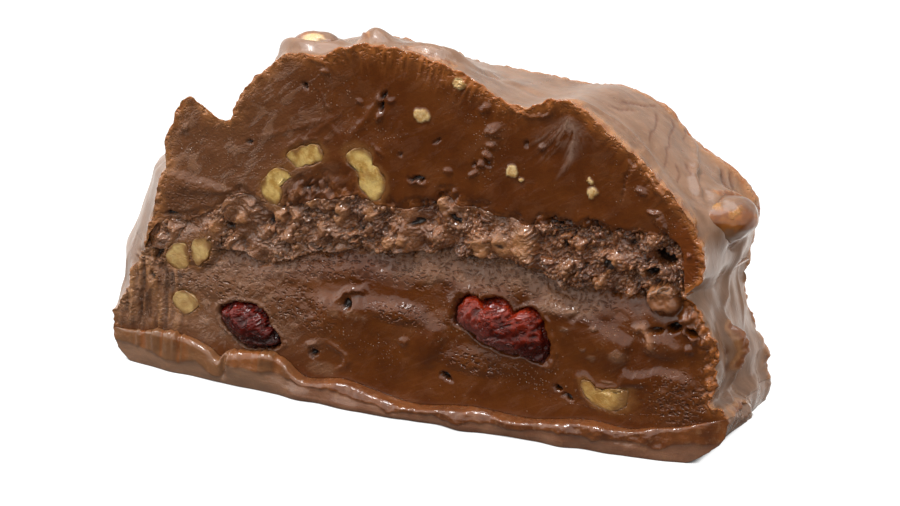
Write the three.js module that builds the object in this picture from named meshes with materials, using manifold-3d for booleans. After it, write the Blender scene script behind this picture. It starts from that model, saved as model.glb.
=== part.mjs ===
// A thick slice of layered chocolate fudge: a low mound cut through twice.
// From the base up it is a squeezed-out foot, a lower fudge, a band of crumbs and an upper fudge,
// with walnut pieces and dried cranberries in them. Millimetres, +Z up; the front cut faces -Y.
import * as THREE from 'three';
import { mergeVertices } from 'three/addons/utils/BufferGeometryUtils.js';
import Module from 'manifold-3d';

const wasm = await Module();
wasm.setup();

// ---- driving dimensions ----------------------------------------------------------------------
const THICKNESS = 20.5; // from the front cut to the back cut
const GAP = 0.3; // left between neighbouring pieces
const CUT_BOW = 2.0; // the front cut bulges this far at the middle of its foot
const BOW_HEIGHT = 24; // and is flat from here up
const LIP = 2.1; // the foot is squeezed out this far past the cuts
const SHELF = 1.2; // the lower fudge leans back this far under the crumbs
const END_SWELL = 4.4; // the left end swells this far between the two cuts
const CRUMB_SIZE = 2.1; // spacing of the crumbs
const CRUMB_RELIEF = 0.75; // how far the crumbs stand out and sink in
const COAT_WAVE = 0.28; // unevenness of the smooth outside
const COAT_WAVE_LENGTH = 5; // and how far apart its waves are
const PARTING_WAVE = 0.9; // how far the layers' parting lines wander behind the front cut
const PARTING_WAVE_LENGTH = 9;
const PROUD = 0.3; // cut nuts stand this far out of the cut
const BACK_RELIEF = 0.7; // the back cut is smoother than the front one by this factor

// The outline, clockwise from the left foot: x and z at the front cut, x and z at the back cut.
const OUTLINE = [
  [-49.0, 0.0, -49.6, 0.0], // 0 left foot
  [-51.0, 3.2, -51.8, 3.4],
  [-50.9, 8.2, -52.6, 8.8],
  [-48.0, 12.4, -52.2, 14.0],
  [-46.9, 16.4, -51.4, 18.4],
  [-44.9, 20.0, -49.8, 22.6], // 5 underside of the crumbs
  [-42.8, 26.2, -47.0, 27.6],
  [-41.1, 32.3, -44.6, 31.0],
  [-39.7, 35.4, -42.6, 32.4],
  [-40.2, 38.2, -41.2, 33.2],
  [-38.6, 42.0, -39.0, 34.0], // 10
  [-36.6, 45.3, -37.0, 34.8],
  [-34.7, 46.3, -35.0, 35.6], // tip of the horn
  [-32.4, 44.4, -32.6, 37.0],
  [-28.4, 43.4, -29.8, 38.8], // notch beside it
  [-27.3, 45.8, -27.6, 41.6], // 15
  [-25.2, 49.4, -25.0, 45.6],
  [-21.2, 52.8, -21.4, 49.4],
  [-18.6, 55.1, -18.2, 52.0],
  [-11.8, 55.5, -12.6, 53.8],
  [-9.4, 57.0, -9.0, 53.4], // 20
  [-2.8, 58.3, -3.0, 53.0], // highest point of the cut
  [4.5, 57.2, 4.5, 51.6],
  [10.7, 55.5, 10.5, 51.0],
  [17.6, 52.0, 17.0, 50.9],
  [21.0, 51.5, 21.0, 50.0], // 25 dip
  [24.4, 53.1, 25.0, 49.7],
  [27.8, 53.2, 29.0, 49.7],
  [35.0, 48.5, 35.5, 47.4],
  [41.4, 43.3, 40.6, 42.7],
  [45.4, 39.2, 46.4, 39.2], // 30
  [48.4, 33.4, 50.4, 34.8],
  [48.6, 29.0, 50.2, 29.5],
  [45.9, 26.0, 49.0, 25.5], // 33 crack where the crumbs end
  [48.8, 23.2, 48.6, 21.2],
  [51.0, 18.6, 49.8, 17.0], // 35
  [51.1, 12.5, 52.0, 12.5],
  [50.6, 9.8, 52.4, 9.0],
  [53.5, 8.0, 53.0, 6.5], // 38 ear of the foot
  [52.2, 4.0, 52.8, 3.2],
  [48.4, 0.0, 51.2, 0.0], // 40 right foot
];
const LAST_ROW = OUTLINE.length - 1;
const HALF_WIDTH = 52; // the foot's bulge and its squeezed-out lip end here, at either side
const HORN_ROWS = [8, 16]; // these rows fall away fast behind the front cut
const LEFT_ROWS = 12; // the rows before this one belong to the left end
const LEFT_SWELL = { starts: 1, full: 18, fades: 31, gone: 37 }; // heights of its swelling
const OUTSIDE_FADE = { height: 3, depth: 2.5 }; // the outside is even this near the ground and the cut

// Where the layers part, as x and z on the front cut. Each line ends on the outline, at its rows.
const FOOT_TOP = {
  rows: [1.4, 38.4],
  points: [
    [-51.2, 4.6], [-47.0, 5.0], [-38.4, 6.2], [-32.4, 4.6], [-30.6, 3.4], [-29.0, 5.0],
    [-20.4, 6.0], [-15.5, 3.0], [-8.6, 3.7], [3.4, 2.0], [14.0, 3.3], [21.4, 2.8],
    [32.3, 4.4], [42.0, 4.2], [49.8, 6.0], [53.2, 7.2],
  ],
};
const CRUMB_BOTTOM = {
  rows: [4.9, 33.2],
  points: [
    [-45.2, 19.8], [-38.0, 21.0], [-31.0, 21.6], [-23.5, 20.9], [-12.0, 23.8], [0.3, 26.2],
    [12.0, 27.0], [21.7, 26.5], [26.5, 24.5], [36.0, 24.7], [42.0, 25.9], [46.2, 25.8],
  ],
};
// This line turns down inside both ends, where a thin rim of fudge wraps the crumbs. The third
// number is the outline row above each point.
const CRUMB_TOP = {
  rows: [5.1, 32.8],
  points: [
    [-44.7, 20.5, 5.25], [-43.4, 23.4, 6.2], [-42.0, 25.4, 7.2], [-39.4, 26.0, 9],
    [-36.0, 26.6, 11.5], [-32.6, 28.6, 13.2], [-26.5, 31.8, 15.6], [-19.0, 31.2, 17.8],
    [-9.0, 34.0, 20.2], [2.0, 34.1, 21.7], [8.0, 36.0, 22.6], [18.0, 34.3, 24.2],
    [32.6, 34.6, 27.7], [42.8, 35.6, 29.6], [45.0, 34.2, 30.8], [45.6, 30.2, 31.8],
    [46.2, 26.6, 32.7],
  ],
  leftTurn: 2,
  rightTurn: 14,
};

// Swellings and grooves of the smooth outside: centre, reach along x, y and z, height.
const OUTSIDE_RELIEF = [
  { at: [-4.9, 3.6, 58.0], reach: [2.3, 2.4, 5.0], height: 4.0 }, // nub on the crest
  { at: [4.5, 6.0, 56.0], reach: [6.0, 4.2, 5.0], height: 2.0 }, // ridge beside it
  { at: [-19.2, 4.8, 53.5], reach: [4.4, 3.6, 4.0], height: 2.2 }, // round the top walnut
  { at: [27.0, 17.0, 51.0], reach: [6.0, 5.0, 5.0], height: 0.5 }, // rear hump
  { at: [40.0, 6.5, 44.5], reach: [12.0, 2.2, 9.0], height: -0.9 }, // furrow on the right side
  { at: [49.0, 13.5, 25.0], reach: [5.0, 3.0, 8.0], height: 0.9 }, // drip beside it
  { at: [51.0, 6.5, 17.0], reach: [4.0, 1.6, 3.8], height: 1.7 }, // flap low on the right
  { at: [51.5, 10.5, 9.0], reach: [4.0, 1.8, 6.0], height: -1.3 }, // furrow behind the ear
  { at: [52.0, 18.0, 10.0], reach: [4.0, 4.0, 5.0], height: 0.7 }, // rear lobe
];

// Pieces in the fudge: their middle across the cut, how deep behind the cut it lies, half sizes
// along their own length, depth and height, and the tilt of the length, in degrees.
const CRANBERRIES = [
  { name: 'cranberry_left', x: -25.4, z: 9.2, deep: 1.9, half: [7.0, 3.4, 3.5], tilt: -28, seed: 11 },
  { name: 'cranberry_right', x: 17.4, z: 15.9, deep: 2.0, half: [9.3, 3.9, 4.2], tilt: -20, seed: 12 },
];
const WALNUTS = [
  { name: 'walnut_1', x: -21.0, z: 33.9, deep: 1.2, half: [5.0, 2.4, 2.5], tilt: 86, seed: 21 },
  { name: 'walnut_2', x: -15.3, z: 39.6, deep: 1.1, half: [3.7, 2.2, 2.0], tilt: 15, seed: 22 },
  { name: 'walnut_3', x: -5.1, z: 37.5, deep: 1.2, half: [5.7, 2.4, 2.3], tilt: -56, seed: 23 },
  { name: 'walnut_4', x: -38.8, z: 18.1, deep: 1.0, half: [2.7, 1.9, 1.8], tilt: 80, seed: 24 },
  { name: 'walnut_5', x: -34.2, z: 18.6, deep: 1.0, half: [2.5, 1.9, 1.9], tilt: 60, seed: 25 },
  { name: 'walnut_6', x: -37.7, z: 11.1, deep: 1.0, half: [2.7, 1.9, 2.2], tilt: -15, seed: 26 },
  { name: 'walnut_7', x: 34.4, z: 8.6, deep: 1.1, half: [4.9, 2.3, 2.5], tilt: -14, seed: 27 },
];
// Two more show through the smooth outside, coated.
const COATED_WALNUTS = [
  { name: 'walnut_top', x: -16.6, z: 54.8, deep: 5.6, half: [4.4, 3.3, 2.5], tilt: 10, seed: 28 },
  { name: 'walnut_side', x: 49.4, z: 35.4, deep: 9.6, half: [4.2, 4.6, 3.3], tilt: 8, seed: 29 },
];
// Bits of nut too small to be pieces: middle across the cut, half size.
const NUT_BITS = [[4.3, 48.3, 1.4], [18.5, 41.5, 1.1], [31.2, 40.1, 0.9], [10.4, 53.4, 0.9]];
const BIT_DEEP = 0.3; // how deep behind the cut the bits' middles lie
const BIT_HALF_DEPTH = 0.9;
const BIT_TURN = 20; // degrees from one bit's tilt to the next one's

// Cells of the blocks across and up; all have the same number through.
const MIDDLE_CELLS = 43;
const RIM_CELLS = 4;
const CELLS_UP = { base_coat: 3, fudge_lower: 6, crumb_layer: RIM_CELLS, fudge_upper: 8 };
const DEPTHS = [0, 0.1, 0.28, 0.5, 0.72, 0.9, 1]; // fractions of the thickness

// Seeds of the noise that shapes the outside, the parting lines and the two cuts.
const SEEDS = { outside: 1, parting: 2, frontCut: 3, backCut: 7, firstBit: 40 };

// ---- seeded noise ----------------------------------------------------------------------------
const { degToRad, lerp, smoothstep } = THREE.MathUtils;

function hash(i, j, k, seed) {
  const value = Math.sin(i * 127.1 + j * 311.7 + k * 74.7 + seed * 53.3) * 43758.5453;
  return value - Math.floor(value);
}

// Smooth noise between -1 and 1, one cell to the unit.
function noise(x, y, z, seed) {
  const [i, j, k] = [Math.floor(x), Math.floor(y), Math.floor(z)];
  const [a, b, c] = [x - i, y - j, z - k].map((f) => f * f * (3 - 2 * f));
  let sum = 0;
  for (const di of [0, 1]) {
    for (const dj of [0, 1]) {
      for (const dk of [0, 1]) {
        const weight = (di ? a : 1 - a) * (dj ? b : 1 - b) * (dk ? c : 1 - c);
        sum += weight * hash(i + di, j + dj, k + dk, seed);
      }
    }
  }
  return sum * 2 - 1;
}

// ---- the outline -------------------------------------------------------------------------------
function curveThrough(points) {
  return new THREE.CatmullRomCurve3(points.map(([x, z]) => new THREE.Vector3(x, 0, z)));
}

const frontOutline = curveThrough(OUTLINE.map((row) => row.slice(0, 2)));
const backOutline = curveThrough(OUTLINE.map((row) => row.slice(2, 4)));

function bareOutline(row, depth) {
  const [from, to] = HORN_ROWS;
  const horn = smoothstep(row, from - 1, from + 1) * (1 - smoothstep(row, to - 1, to + 1));
  const towardsBack = lerp(depth, 1 - (1 - depth) ** 3, horn);
  const point = frontOutline.getPoint(row / LAST_ROW);
  point.lerp(backOutline.getPoint(row / LAST_ROW), towardsBack);
  if (row < LEFT_ROWS) {
    const { starts, full, fades, gone } = LEFT_SWELL;
    const height = smoothstep(point.z, starts, full) * (1 - smoothstep(point.z, fades, gone));
    point.x -= END_SWELL * Math.sin(Math.PI * depth) * height;
  }
  point.y = THICKNESS * depth;
  return point;
}

// The direction that points out of an outline, or up from a parting line.
function leftOf(from, to) {
  return new THREE.Vector3(from.z - to.z, 0, to.x - from.x).normalize();
}

// A point of the outside, with its swellings and unevenness, which fade out at the front cut.
const ROW_STEP = 0.3; // between the points on either side that give the direction outwards

function outlineAt(row, depth) {
  const point = bareOutline(row, depth);
  const outward = leftOf(
    bareOutline(Math.max(row - ROW_STEP, 0), depth),
    bareOutline(Math.min(row + ROW_STEP, LAST_ROW), depth),
  );
  const [x, y, z] = point.toArray().map((value) => value / COAT_WAVE_LENGTH);
  let height = COAT_WAVE * noise(x, y, z, SEEDS.outside);
  for (const { at, reach, height: rise } of OUTSIDE_RELIEF) {
    const away = ((point.x - at[0]) / reach[0]) ** 2 + ((point.y - at[1]) / reach[1]) ** 2
      + ((point.z - at[2]) / reach[2]) ** 2;
    height += rise * Math.exp(-away);
  }
  height *= smoothstep(point.z, 0, OUTSIDE_FADE.height);
  height *= smoothstep(point.y, 0, OUTSIDE_FADE.depth);
  return point.addScaledVector(outward, height);
}

function outlinePart(from, to) {
  return (fraction, depth) => outlineAt(lerp(from, to, fraction), depth);
}

// ---- the parting lines -------------------------------------------------------------------------
for (const line of [FOOT_TOP, CRUMB_BOTTOM, CRUMB_TOP]) {
  line.curve = curveThrough(line.points);
}

// The fraction of the line's length at which it passes one of its points.
function fractionAt(line, number) {
  const lengths = line.curve.getLengths(line.curve.arcLengthDivisions);
  const step = Math.round(line.curve.arcLengthDivisions * number / (line.points.length - 1));
  return lengths[step] / lengths.at(-1);
}

// A point on a parting line at a fraction of its length, moved off the line by half the gap.
const LINE_STEP = 0.01; // between the points on either side that give the direction upwards

function partingAt(line, fraction, depth, side) {
  const { curve, rows } = line;
  const point = curve.getPointAt(fraction);
  const start = outlineAt(rows[0], depth).sub(curve.getPoint(0));
  const end = outlineAt(rows[1], depth).sub(curve.getPoint(1));
  const up = leftOf(
    curve.getPointAt(Math.max(fraction - LINE_STEP, 0)),
    curve.getPointAt(Math.min(fraction + LINE_STEP, 1)),
  );
  const wave = PARTING_WAVE * depth * Math.sin(Math.PI * fraction);
  point.addScaledVector(start, 1 - fraction).addScaledVector(end, fraction);
  point.z += wave * noise(point.x / PARTING_WAVE_LENGTH, 4 * depth, 0, SEEDS.parting);
  return point.addScaledVector(up, side * GAP / 2);
}

// The outline row above a point of the crumbs' top line.
function rowAbove(fraction) {
  const { curve, points } = CRUMB_TOP;
  const place = curve.getUtoTmapping(fraction) * (points.length - 1);
  const before = Math.min(Math.floor(place), points.length - 2);
  return lerp(points[before][2], points[before + 1][2], place - before);
}

// ---- the surface of the cuts -------------------------------------------------------------------
function cutBow(x, z) {
  return CUT_BOW * (1 - (x / HALF_WIDTH) ** 2) * Math.max(0, 1 - z / BOW_HEIGHT);
}

const LIP_ROLL = { from: -0.45, to: 0.8 }; // the part of a round that the lip's section follows
const LIP_WAVES = { share: 0.25, length: 4 };
const SHELF_START = 0.55; // how far up the lower fudge starts to lean back
const LOWER_WAVES = { height: 0.3, across: 4.5, up: 3.5 };
const CRUMBS_SUNK = 0.45; // how far behind the cut the crumbs' mean face lies
const UPPER_WAVES = [{ height: 0.22, length: 8 }, { height: 0.1, length: 2.5 }];

// How far a point of a layer's cut stands out; `up` runs from 0 to 1 through the layer.
const CUT_RELIEF = {
  base_coat: (x, z, up, seed) => {
    const roll = Math.sqrt(Math.max(0, 1 - lerp(LIP_ROLL.from, LIP_ROLL.to, up) ** 2));
    const along = 1 - Math.min(1, Math.abs(x) / HALF_WIDTH) ** 4;
    const waves = LIP_WAVES.share * noise(x / LIP_WAVES.length, z / LIP_WAVES.length, 0, seed);
    return LIP * roll * along * (1 + waves);
  },
  fudge_lower: (x, z, up, seed) => -SHELF * smoothstep(up, SHELF_START, 1)
    + LOWER_WAVES.height * noise(x / LOWER_WAVES.across, z / LOWER_WAVES.up, 0, seed),
  crumb_layer: (x, z, up, seed) => -CRUMBS_SUNK
    + CRUMB_RELIEF * noise(x / CRUMB_SIZE, z / CRUMB_SIZE, 0, seed),
  fudge_upper: (x, z, up, seed) => UPPER_WAVES.reduce((sum, { height, length }, number) => (
    sum + height * noise(x / length, z / length, 0, seed + number)), 0),
};

// ---- blocks ------------------------------------------------------------------------------------
// A block's four edges give a point at a fraction along them and a depth. The grid between them is
// a Coons patch, repeated from cut to cut, and only the skin of the grid is kept. The side edges
// are drawn to the ends of the other two, or are straight where none is given.
function block(name, across, { bottom, top, left, right }) {
  const up = CELLS_UP[name];
  const through = DEPTHS.length - 1;

  function sideEdge(edge, u) {
    return (w, depth) => {
      const [low, high] = [bottom(u, depth), top(u, depth)];
      if (!edge) {
        return low.lerp(high, w);
      }
      const toLow = low.sub(edge(0, depth));
      const toHigh = high.sub(edge(1, depth));
      return edge(w, depth).add(toLow.lerp(toHigh, w));
    };
  }
  const leftEdge = sideEdge(left, 0);
  const rightEdge = sideEdge(right, 1);

  function gridPoint(i, j, k) {
    const [u, depth, w] = [i / across, DEPTHS[j], k / up];
    const corners = bottom(0, depth).lerp(bottom(1, depth), u)
      .lerp(top(0, depth).lerp(top(1, depth), u), w);
    const point = bottom(u, depth).lerp(top(u, depth), w)
      .add(leftEdge(w, depth).lerp(rightEdge(w, depth), u)).sub(corners);
    point.y = THICKNESS * depth;
    if (j === 0) {
      point.y -= cutBow(point.x, point.z)
        + CUT_RELIEF[name](point.x, point.z, w, SEEDS.frontCut);
    } else if (j === through) {
      point.y += BACK_RELIEF * CUT_RELIEF[name](point.x, point.z, w, SEEDS.backCut);
    }
    return point;
  }

  const numbers = new Map();
  const positions = [];
  function vertex(i, j, k) {
    const key = `${i},${j},${k}`;
    if (!numbers.has(key)) {
      numbers.set(key, numbers.size);
      positions.push(...gridPoint(i, j, k).toArray());
    }
    return numbers.get(key);
  }

  const index = [];
  function skin(columns, rows, at, outwards) {
    for (let a = 0; a < columns; a += 1) {
      for (let b = 0; b < rows; b += 1) {
        const ring = [at(a, b), at(a + 1, b), at(a + 1, b + 1), at(a, b + 1)];
        const [p, q, r, s] = outwards ? ring : ring.reverse();
        index.push(p, q, r, p, r, s);
      }
    }
  }
  skin(across, up, (a, b) => vertex(a, 0, b), true);
  skin(across, up, (a, b) => vertex(a, through, b), false);
  skin(across, through, (a, b) => vertex(a, b, 0), false);
  skin(across, through, (a, b) => vertex(a, b, up), true);
  skin(through, up, (a, b) => vertex(0, a, b), false);
  skin(through, up, (a, b) => vertex(across, a, b), true);

  const geometry = new THREE.BufferGeometry();
  geometry.setAttribute('position', new THREE.Float32BufferAttribute(positions, 3));
  geometry.setIndex(index);
  return geometry;
}

function baseCoat() {
  return block('base_coat', MIDDLE_CELLS, {
    bottom: (u, depth) => outlineAt(0, depth).lerp(outlineAt(LAST_ROW, depth), u),
    top: (u, depth) => partingAt(FOOT_TOP, u, depth, -1),
    left: outlinePart(0, FOOT_TOP.rows[0]),
    right: outlinePart(LAST_ROW, FOOT_TOP.rows[1]),
  });
}

function fudgeLower() {
  return block('fudge_lower', MIDDLE_CELLS, {
    bottom: (u, depth) => partingAt(FOOT_TOP, u, depth, 1),
    top: (u, depth) => partingAt(CRUMB_BOTTOM, u, depth, -1),
    left: outlinePart(FOOT_TOP.rows[0], CRUMB_BOTTOM.rows[0]),
    right: outlinePart(FOOT_TOP.rows[1], CRUMB_BOTTOM.rows[1]),
  });
}

const leftTurn = fractionAt(CRUMB_TOP, CRUMB_TOP.leftTurn);
const rightTurn = fractionAt(CRUMB_TOP, CRUMB_TOP.rightTurn);

function crumbLayer() {
  const topLine = (fraction, depth) => partingAt(CRUMB_TOP, fraction, depth, -1);
  return block('crumb_layer', MIDDLE_CELLS, {
    bottom: (u, depth) => partingAt(CRUMB_BOTTOM, u, depth, 1),
    top: (u, depth) => topLine(lerp(leftTurn, rightTurn, u), depth),
    left: (w, depth) => topLine(lerp(0, leftTurn, w), depth),
    right: (w, depth) => topLine(lerp(1, rightTurn, w), depth),
  });
}

function fudgeUpper() {
  const across = MIDDLE_CELLS + 2 * RIM_CELLS;
  // The cells of the underside are those of the crumb layer's left end, top and right end.
  function alongCrumbs(u) {
    const cell = u * across;
    if (cell < RIM_CELLS) {
      return leftTurn * cell / RIM_CELLS;
    }
    if (cell > across - RIM_CELLS) {
      return lerp(1, rightTurn, (across - cell) / RIM_CELLS);
    }
    return lerp(leftTurn, rightTurn, (cell - RIM_CELLS) / MIDDLE_CELLS);
  }
  return block('fudge_upper', across, {
    bottom: (u, depth) => partingAt(CRUMB_TOP, alongCrumbs(u), depth, 1),
    top: (u, depth) => outlineAt(rowAbove(alongCrumbs(u)), depth),
  });
}

// ---- fruit and nuts ----------------------------------------------------------------------------
// A wrinkled lump; grown by a margin it is the pocket that the lump lies in.
const WRINKLES = { broad: 2, fine: 4, fineShare: 0.5 }; // waves to a lump's half size

function lump({ x, z, deep, half, tilt, seed }, { wrinkle, detail, proud = Infinity }, margin = 0) {
  const sphere = new THREE.IcosahedronGeometry(1, detail);
  sphere.deleteAttribute('normal');
  sphere.deleteAttribute('uv');
  const geometry = mergeVertices(sphere);
  const position = geometry.attributes.position;
  const onCut = -cutBow(x, z);
  const point = new THREE.Vector3();
  for (let i = 0; i < position.count; i += 1) {
    point.fromBufferAttribute(position, i);
    const [broad, fine] = [WRINKLES.broad, WRINKLES.fine].map((waves) => (
      noise(...point.toArray().map((value) => value * waves), seed)));
    const size = 1 + wrinkle * broad + WRINKLES.fineShare * wrinkle * fine;
    point.multiply(new THREE.Vector3(...half).addScalar(margin)).multiplyScalar(size);
    point.y = Math.max(point.y, -deep - proud);
    position.setXYZ(i, point.x, point.y, point.z);
  }
  geometry.rotateY(degToRad(-tilt));
  geometry.translate(x, onCut + deep, z);
  return geometry;
}

const FRUIT = { wrinkle: 0.16, detail: 2 };
const CUT_NUT = { wrinkle: 0.14, detail: 2, proud: PROUD };
const COATED_NUT = { wrinkle: 0.14, detail: 2 };
const BIT = { wrinkle: 0.2, detail: 0, proud: PROUD };

const lumps = [
  ...CRANBERRIES.map((piece) => ({ piece, kind: FRUIT, colour: '#5e0f14' })),
  ...WALNUTS.map((piece) => ({ piece, kind: CUT_NUT, colour: '#c9a550' })),
  ...COATED_WALNUTS.map((piece) => ({ piece, kind: COATED_NUT, colour: '#9a6a3c' })),
];

// ---- joining and cutting -----------------------------------------------------------------------
function solidOf(geometry) {
  return new wasm.Manifold(new wasm.Mesh({
    numProp: 3,
    vertProperties: new Float32Array(geometry.attributes.position.array),
    triVerts: new Uint32Array(geometry.index.array),
  }));
}

function geometryOf(solid) {
  const { vertProperties, triVerts } = solid.getMesh();
  const geometry = new THREE.BufferGeometry();
  geometry.setAttribute('position', new THREE.Float32BufferAttribute(vertProperties, 3));
  geometry.setIndex([...triVerts]);
  return geometry;
}

function namedMesh(name, geometry, colour, roughness) {
  const material = new THREE.MeshStandardMaterial({ color: colour, roughness, metalness: 0 });
  const mesh = new THREE.Mesh(geometry, material);
  mesh.name = name;
  return mesh;
}

// ---- assembly ----------------------------------------------------------------------------------
const layers = [
  { name: 'base_coat', shape: baseCoat(), colour: '#7a4a28', roughness: 0.35 },
  { name: 'fudge_lower', shape: fudgeLower(), colour: '#4e2a12', roughness: 0.35 },
  { name: 'crumb_layer', shape: crumbLayer(), colour: '#5c3a24', roughness: 0.6 },
  { name: 'fudge_upper', shape: fudgeUpper(), colour: '#552e14', roughness: 0.35 },
];

const pockets = lumps.map(({ piece, kind }) => (
  solidOf(lump(piece, { ...kind, proud: Infinity }, GAP))));

const bits = NUT_BITS.map(([x, z, size], number) => solidOf(lump({
  x,
  z,
  deep: BIT_DEEP,
  half: [size, BIT_HALF_DEPTH, size],
  tilt: BIT_TURN * number,
  seed: SEEDS.firstBit + number,
}, BIT)));

const fudge = new THREE.Group();

for (const { name, shape, colour, roughness } of layers) {
  let solid = solidOf(shape);
  for (const bit of name === 'fudge_upper' ? bits : []) {
    solid = solid.add(bit);
  }
  for (const pocket of pockets) {
    solid = solid.subtract(pocket);
  }
  fudge.add(namedMesh(name, geometryOf(solid), colour, roughness));
}

for (const { piece, kind, colour } of lumps) {
  fudge.add(namedMesh(piece.name, lump(piece, kind), colour, 0.4));
}

// The origin is on the ground under the middle of the slice.
const box = new THREE.Box3().setFromObject(fudge);
fudge.position.set(-(box.min.x + box.max.x) / 2, -(box.min.y + box.max.y) / 2, -box.min.z);

export default fudge;
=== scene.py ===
import math

import bmesh
import bpy
import numpy as np
from mathutils import Matrix, Vector


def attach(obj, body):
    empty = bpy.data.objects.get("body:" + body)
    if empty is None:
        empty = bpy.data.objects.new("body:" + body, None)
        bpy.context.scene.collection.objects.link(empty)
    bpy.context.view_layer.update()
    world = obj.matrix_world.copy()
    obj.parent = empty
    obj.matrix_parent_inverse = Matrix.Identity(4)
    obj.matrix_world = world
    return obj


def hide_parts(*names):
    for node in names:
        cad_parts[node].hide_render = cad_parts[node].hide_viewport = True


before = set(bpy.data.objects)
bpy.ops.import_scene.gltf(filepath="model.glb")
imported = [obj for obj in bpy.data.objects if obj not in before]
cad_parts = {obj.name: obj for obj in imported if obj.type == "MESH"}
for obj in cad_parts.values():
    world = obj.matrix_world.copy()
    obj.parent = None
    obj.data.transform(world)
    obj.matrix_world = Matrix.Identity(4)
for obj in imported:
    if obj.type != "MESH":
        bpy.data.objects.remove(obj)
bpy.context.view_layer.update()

# A thick slice of layered chocolate fudge, dressed around its solids. Lengths are millimetres in
# the slice's own places: x along the cut, z up, and y from 0 at the front cut back to the other.
# A plain number beside x, y or z in a formula is a place, or the size of a wave, in millimetres.

# ================ FOOT ================
# The thin coat the mound was set down on: chocolate squeezed out under the weight as a rounded lip,
# pleated where the knife dragged the fudge down over it. Poured, then cut through twice.
MM = 0.001
SIDE_SHIFT = 0.1004  # from the slice's own places to the frame, along x
CUT_PLANE = -8.9218  # and the front cut's place in the frame
THICKNESS = 20.5
HALF_WIDTH = 52
FRONT_SEED, BACK_SEED = 3, 7
BACK_GAIN = 0.7  # the back cut is this much flatter

CUT_BOW = 2.0  # how far the front cut bulges at the bottom, and how high up
BOW_HEIGHT = 24
END_SWELL = 4.4  # how far the left flank swells out halfway between the cuts
SWELL_STARTS = (1, 18)  # the heights between which that begins, and ends
SWELL_ENDS = (31, 37)
LEFT_FLANK_ROWS = 12
COAT_WAVE = 0.28  # height and size of the outside's slow waves
COAT_WAVE_SIZE = 5
CUT_TEAR = 0.26  # how ragged the knife leaves the edges of the cuts, and how far in
TEAR_DEPTH = 0.8
LIP = 2.1  # how far the foot's lip stands out of the cut
FOOT_TUCK = 1.0  # how far the foot's ends are rounded in at the table, and how high up
TUCK_HEIGHT = 2.4

# The outline, clockwise from the left foot: x and z at the front cut, x and z at the back cut.
OUTLINE = np.array([
    [-49, 0, -49.6, 0], [-51, 3.2, -51.8, 3.4], [-50.9, 8.2, -52.6, 8.8],
    [-48, 12.4, -52.2, 14], [-46.9, 16.4, -51.4, 18.4], [-44.9, 20, -49.8, 22.6],
    [-42.8, 26.2, -47, 27.6], [-41.1, 32.3, -44.6, 31], [-39.7, 35.4, -42.6, 32.4],
    [-40.2, 38.2, -41.2, 33.2], [-38.6, 42, -39, 34], [-36.6, 45.3, -37, 34.8],
    [-34.7, 46.3, -35, 35.6], [-32.4, 44.4, -32.6, 37], [-28.4, 43.4, -29.8, 38.8],
    [-27.3, 45.8, -27.6, 41.6], [-25.2, 49.4, -25, 45.6], [-21.2, 52.8, -21.4, 49.4],
    [-18.6, 55.1, -18.2, 52], [-11.8, 55.5, -12.6, 53.8], [-9.4, 57, -9, 53.4],
    [-2.8, 58.3, -3, 53], [4.5, 57.2, 4.5, 51.6], [10.7, 55.5, 10.5, 51],
    [17.6, 52, 17, 50.9], [21, 51.5, 21, 50], [24.4, 53.1, 25, 49.7],
    [27.8, 53.2, 29, 49.7], [35, 48.5, 35.5, 47.4], [41.4, 43.3, 40.6, 42.7],
    [45.4, 39.2, 46.4, 39.2], [48.4, 33.4, 50.4, 34.8], [48.6, 29, 50.2, 29.5],
    [45.9, 26, 49, 25.5], [48.8, 23.2, 48.6, 21.2], [51, 18.6, 49.8, 17],
    [51.1, 12.5, 52, 12.5], [50.6, 9.8, 52.4, 9], [53.5, 8, 53, 6.5],
    [52.2, 4, 52.8, 3.2], [48.4, 0, 51.2, 0],
])
LAST_ROW = len(OUTLINE) - 1
HORN_ROWS = (8, 16)

# Where the foot's top runs: its end rows on the outline, and x and z on the front cut.
FOOT_TOP = {
    "rows": (1.4, 38.05),
    "ruffle": 0.35,
    "points": [(-51.2, 4.6), (-47.0, 5.0), (-38.4, 6.2), (-32.4, 4.6), (-30.6, 3.4), (-29.0, 5.0),
               (-20.4, 6), (-15.5, 3), (-8.6, 3.7), (3.4, 2), (14, 3.3), (21.4, 2.8),
               (32.3, 4.3), (38.6, 4), (41.6, 4.7), (46.4, 5.7), (50.4, 7),
               (53.4, 7.9)],
}

# Swellings and grooves of the smooth outside: centre, reach along x, y and z, height.
OUTSIDE_SWELLINGS = [
    ((-5, 3.9, 58), (2.5, 2.9, 6), 2.5),
    ((4.8, 4.6, 56), (5.6, 3.2, 5), 1.7),
    ((-19.2, 4.8, 53.5), (4.4, 3.6, 4), 1.4),
    ((27, 17, 51), (6, 5, 5), 0.5),
    ((13, 15, 51.5), (9, 6, 4), -0.7),
    ((47, 6, 26), (4, 3.4, 2.4), 1.5),
    ((40, 6.5, 44.5), (12, 2.2, 9), -0.9),
    ((49, 13.5, 25), (5, 3, 8), 0.9),
    ((46.9, 6, 36.8), (2.6, 2.6, 2.2), 0.5),
    ((51, 6.5, 17), (4, 1.6, 3.8), 1.7),
    ((51.5, 10.5, 9), (4, 1.8, 6), -1.3),
    ((52, 18, 10), (4, 4, 5), 0.7),
]


def hash01(i, j, k, seed):
    value = np.sin(i * 127.1 + j * 311.7 + k * 74.7 + seed * 53.3) * 43758.5453
    return value - np.floor(value)


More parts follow.
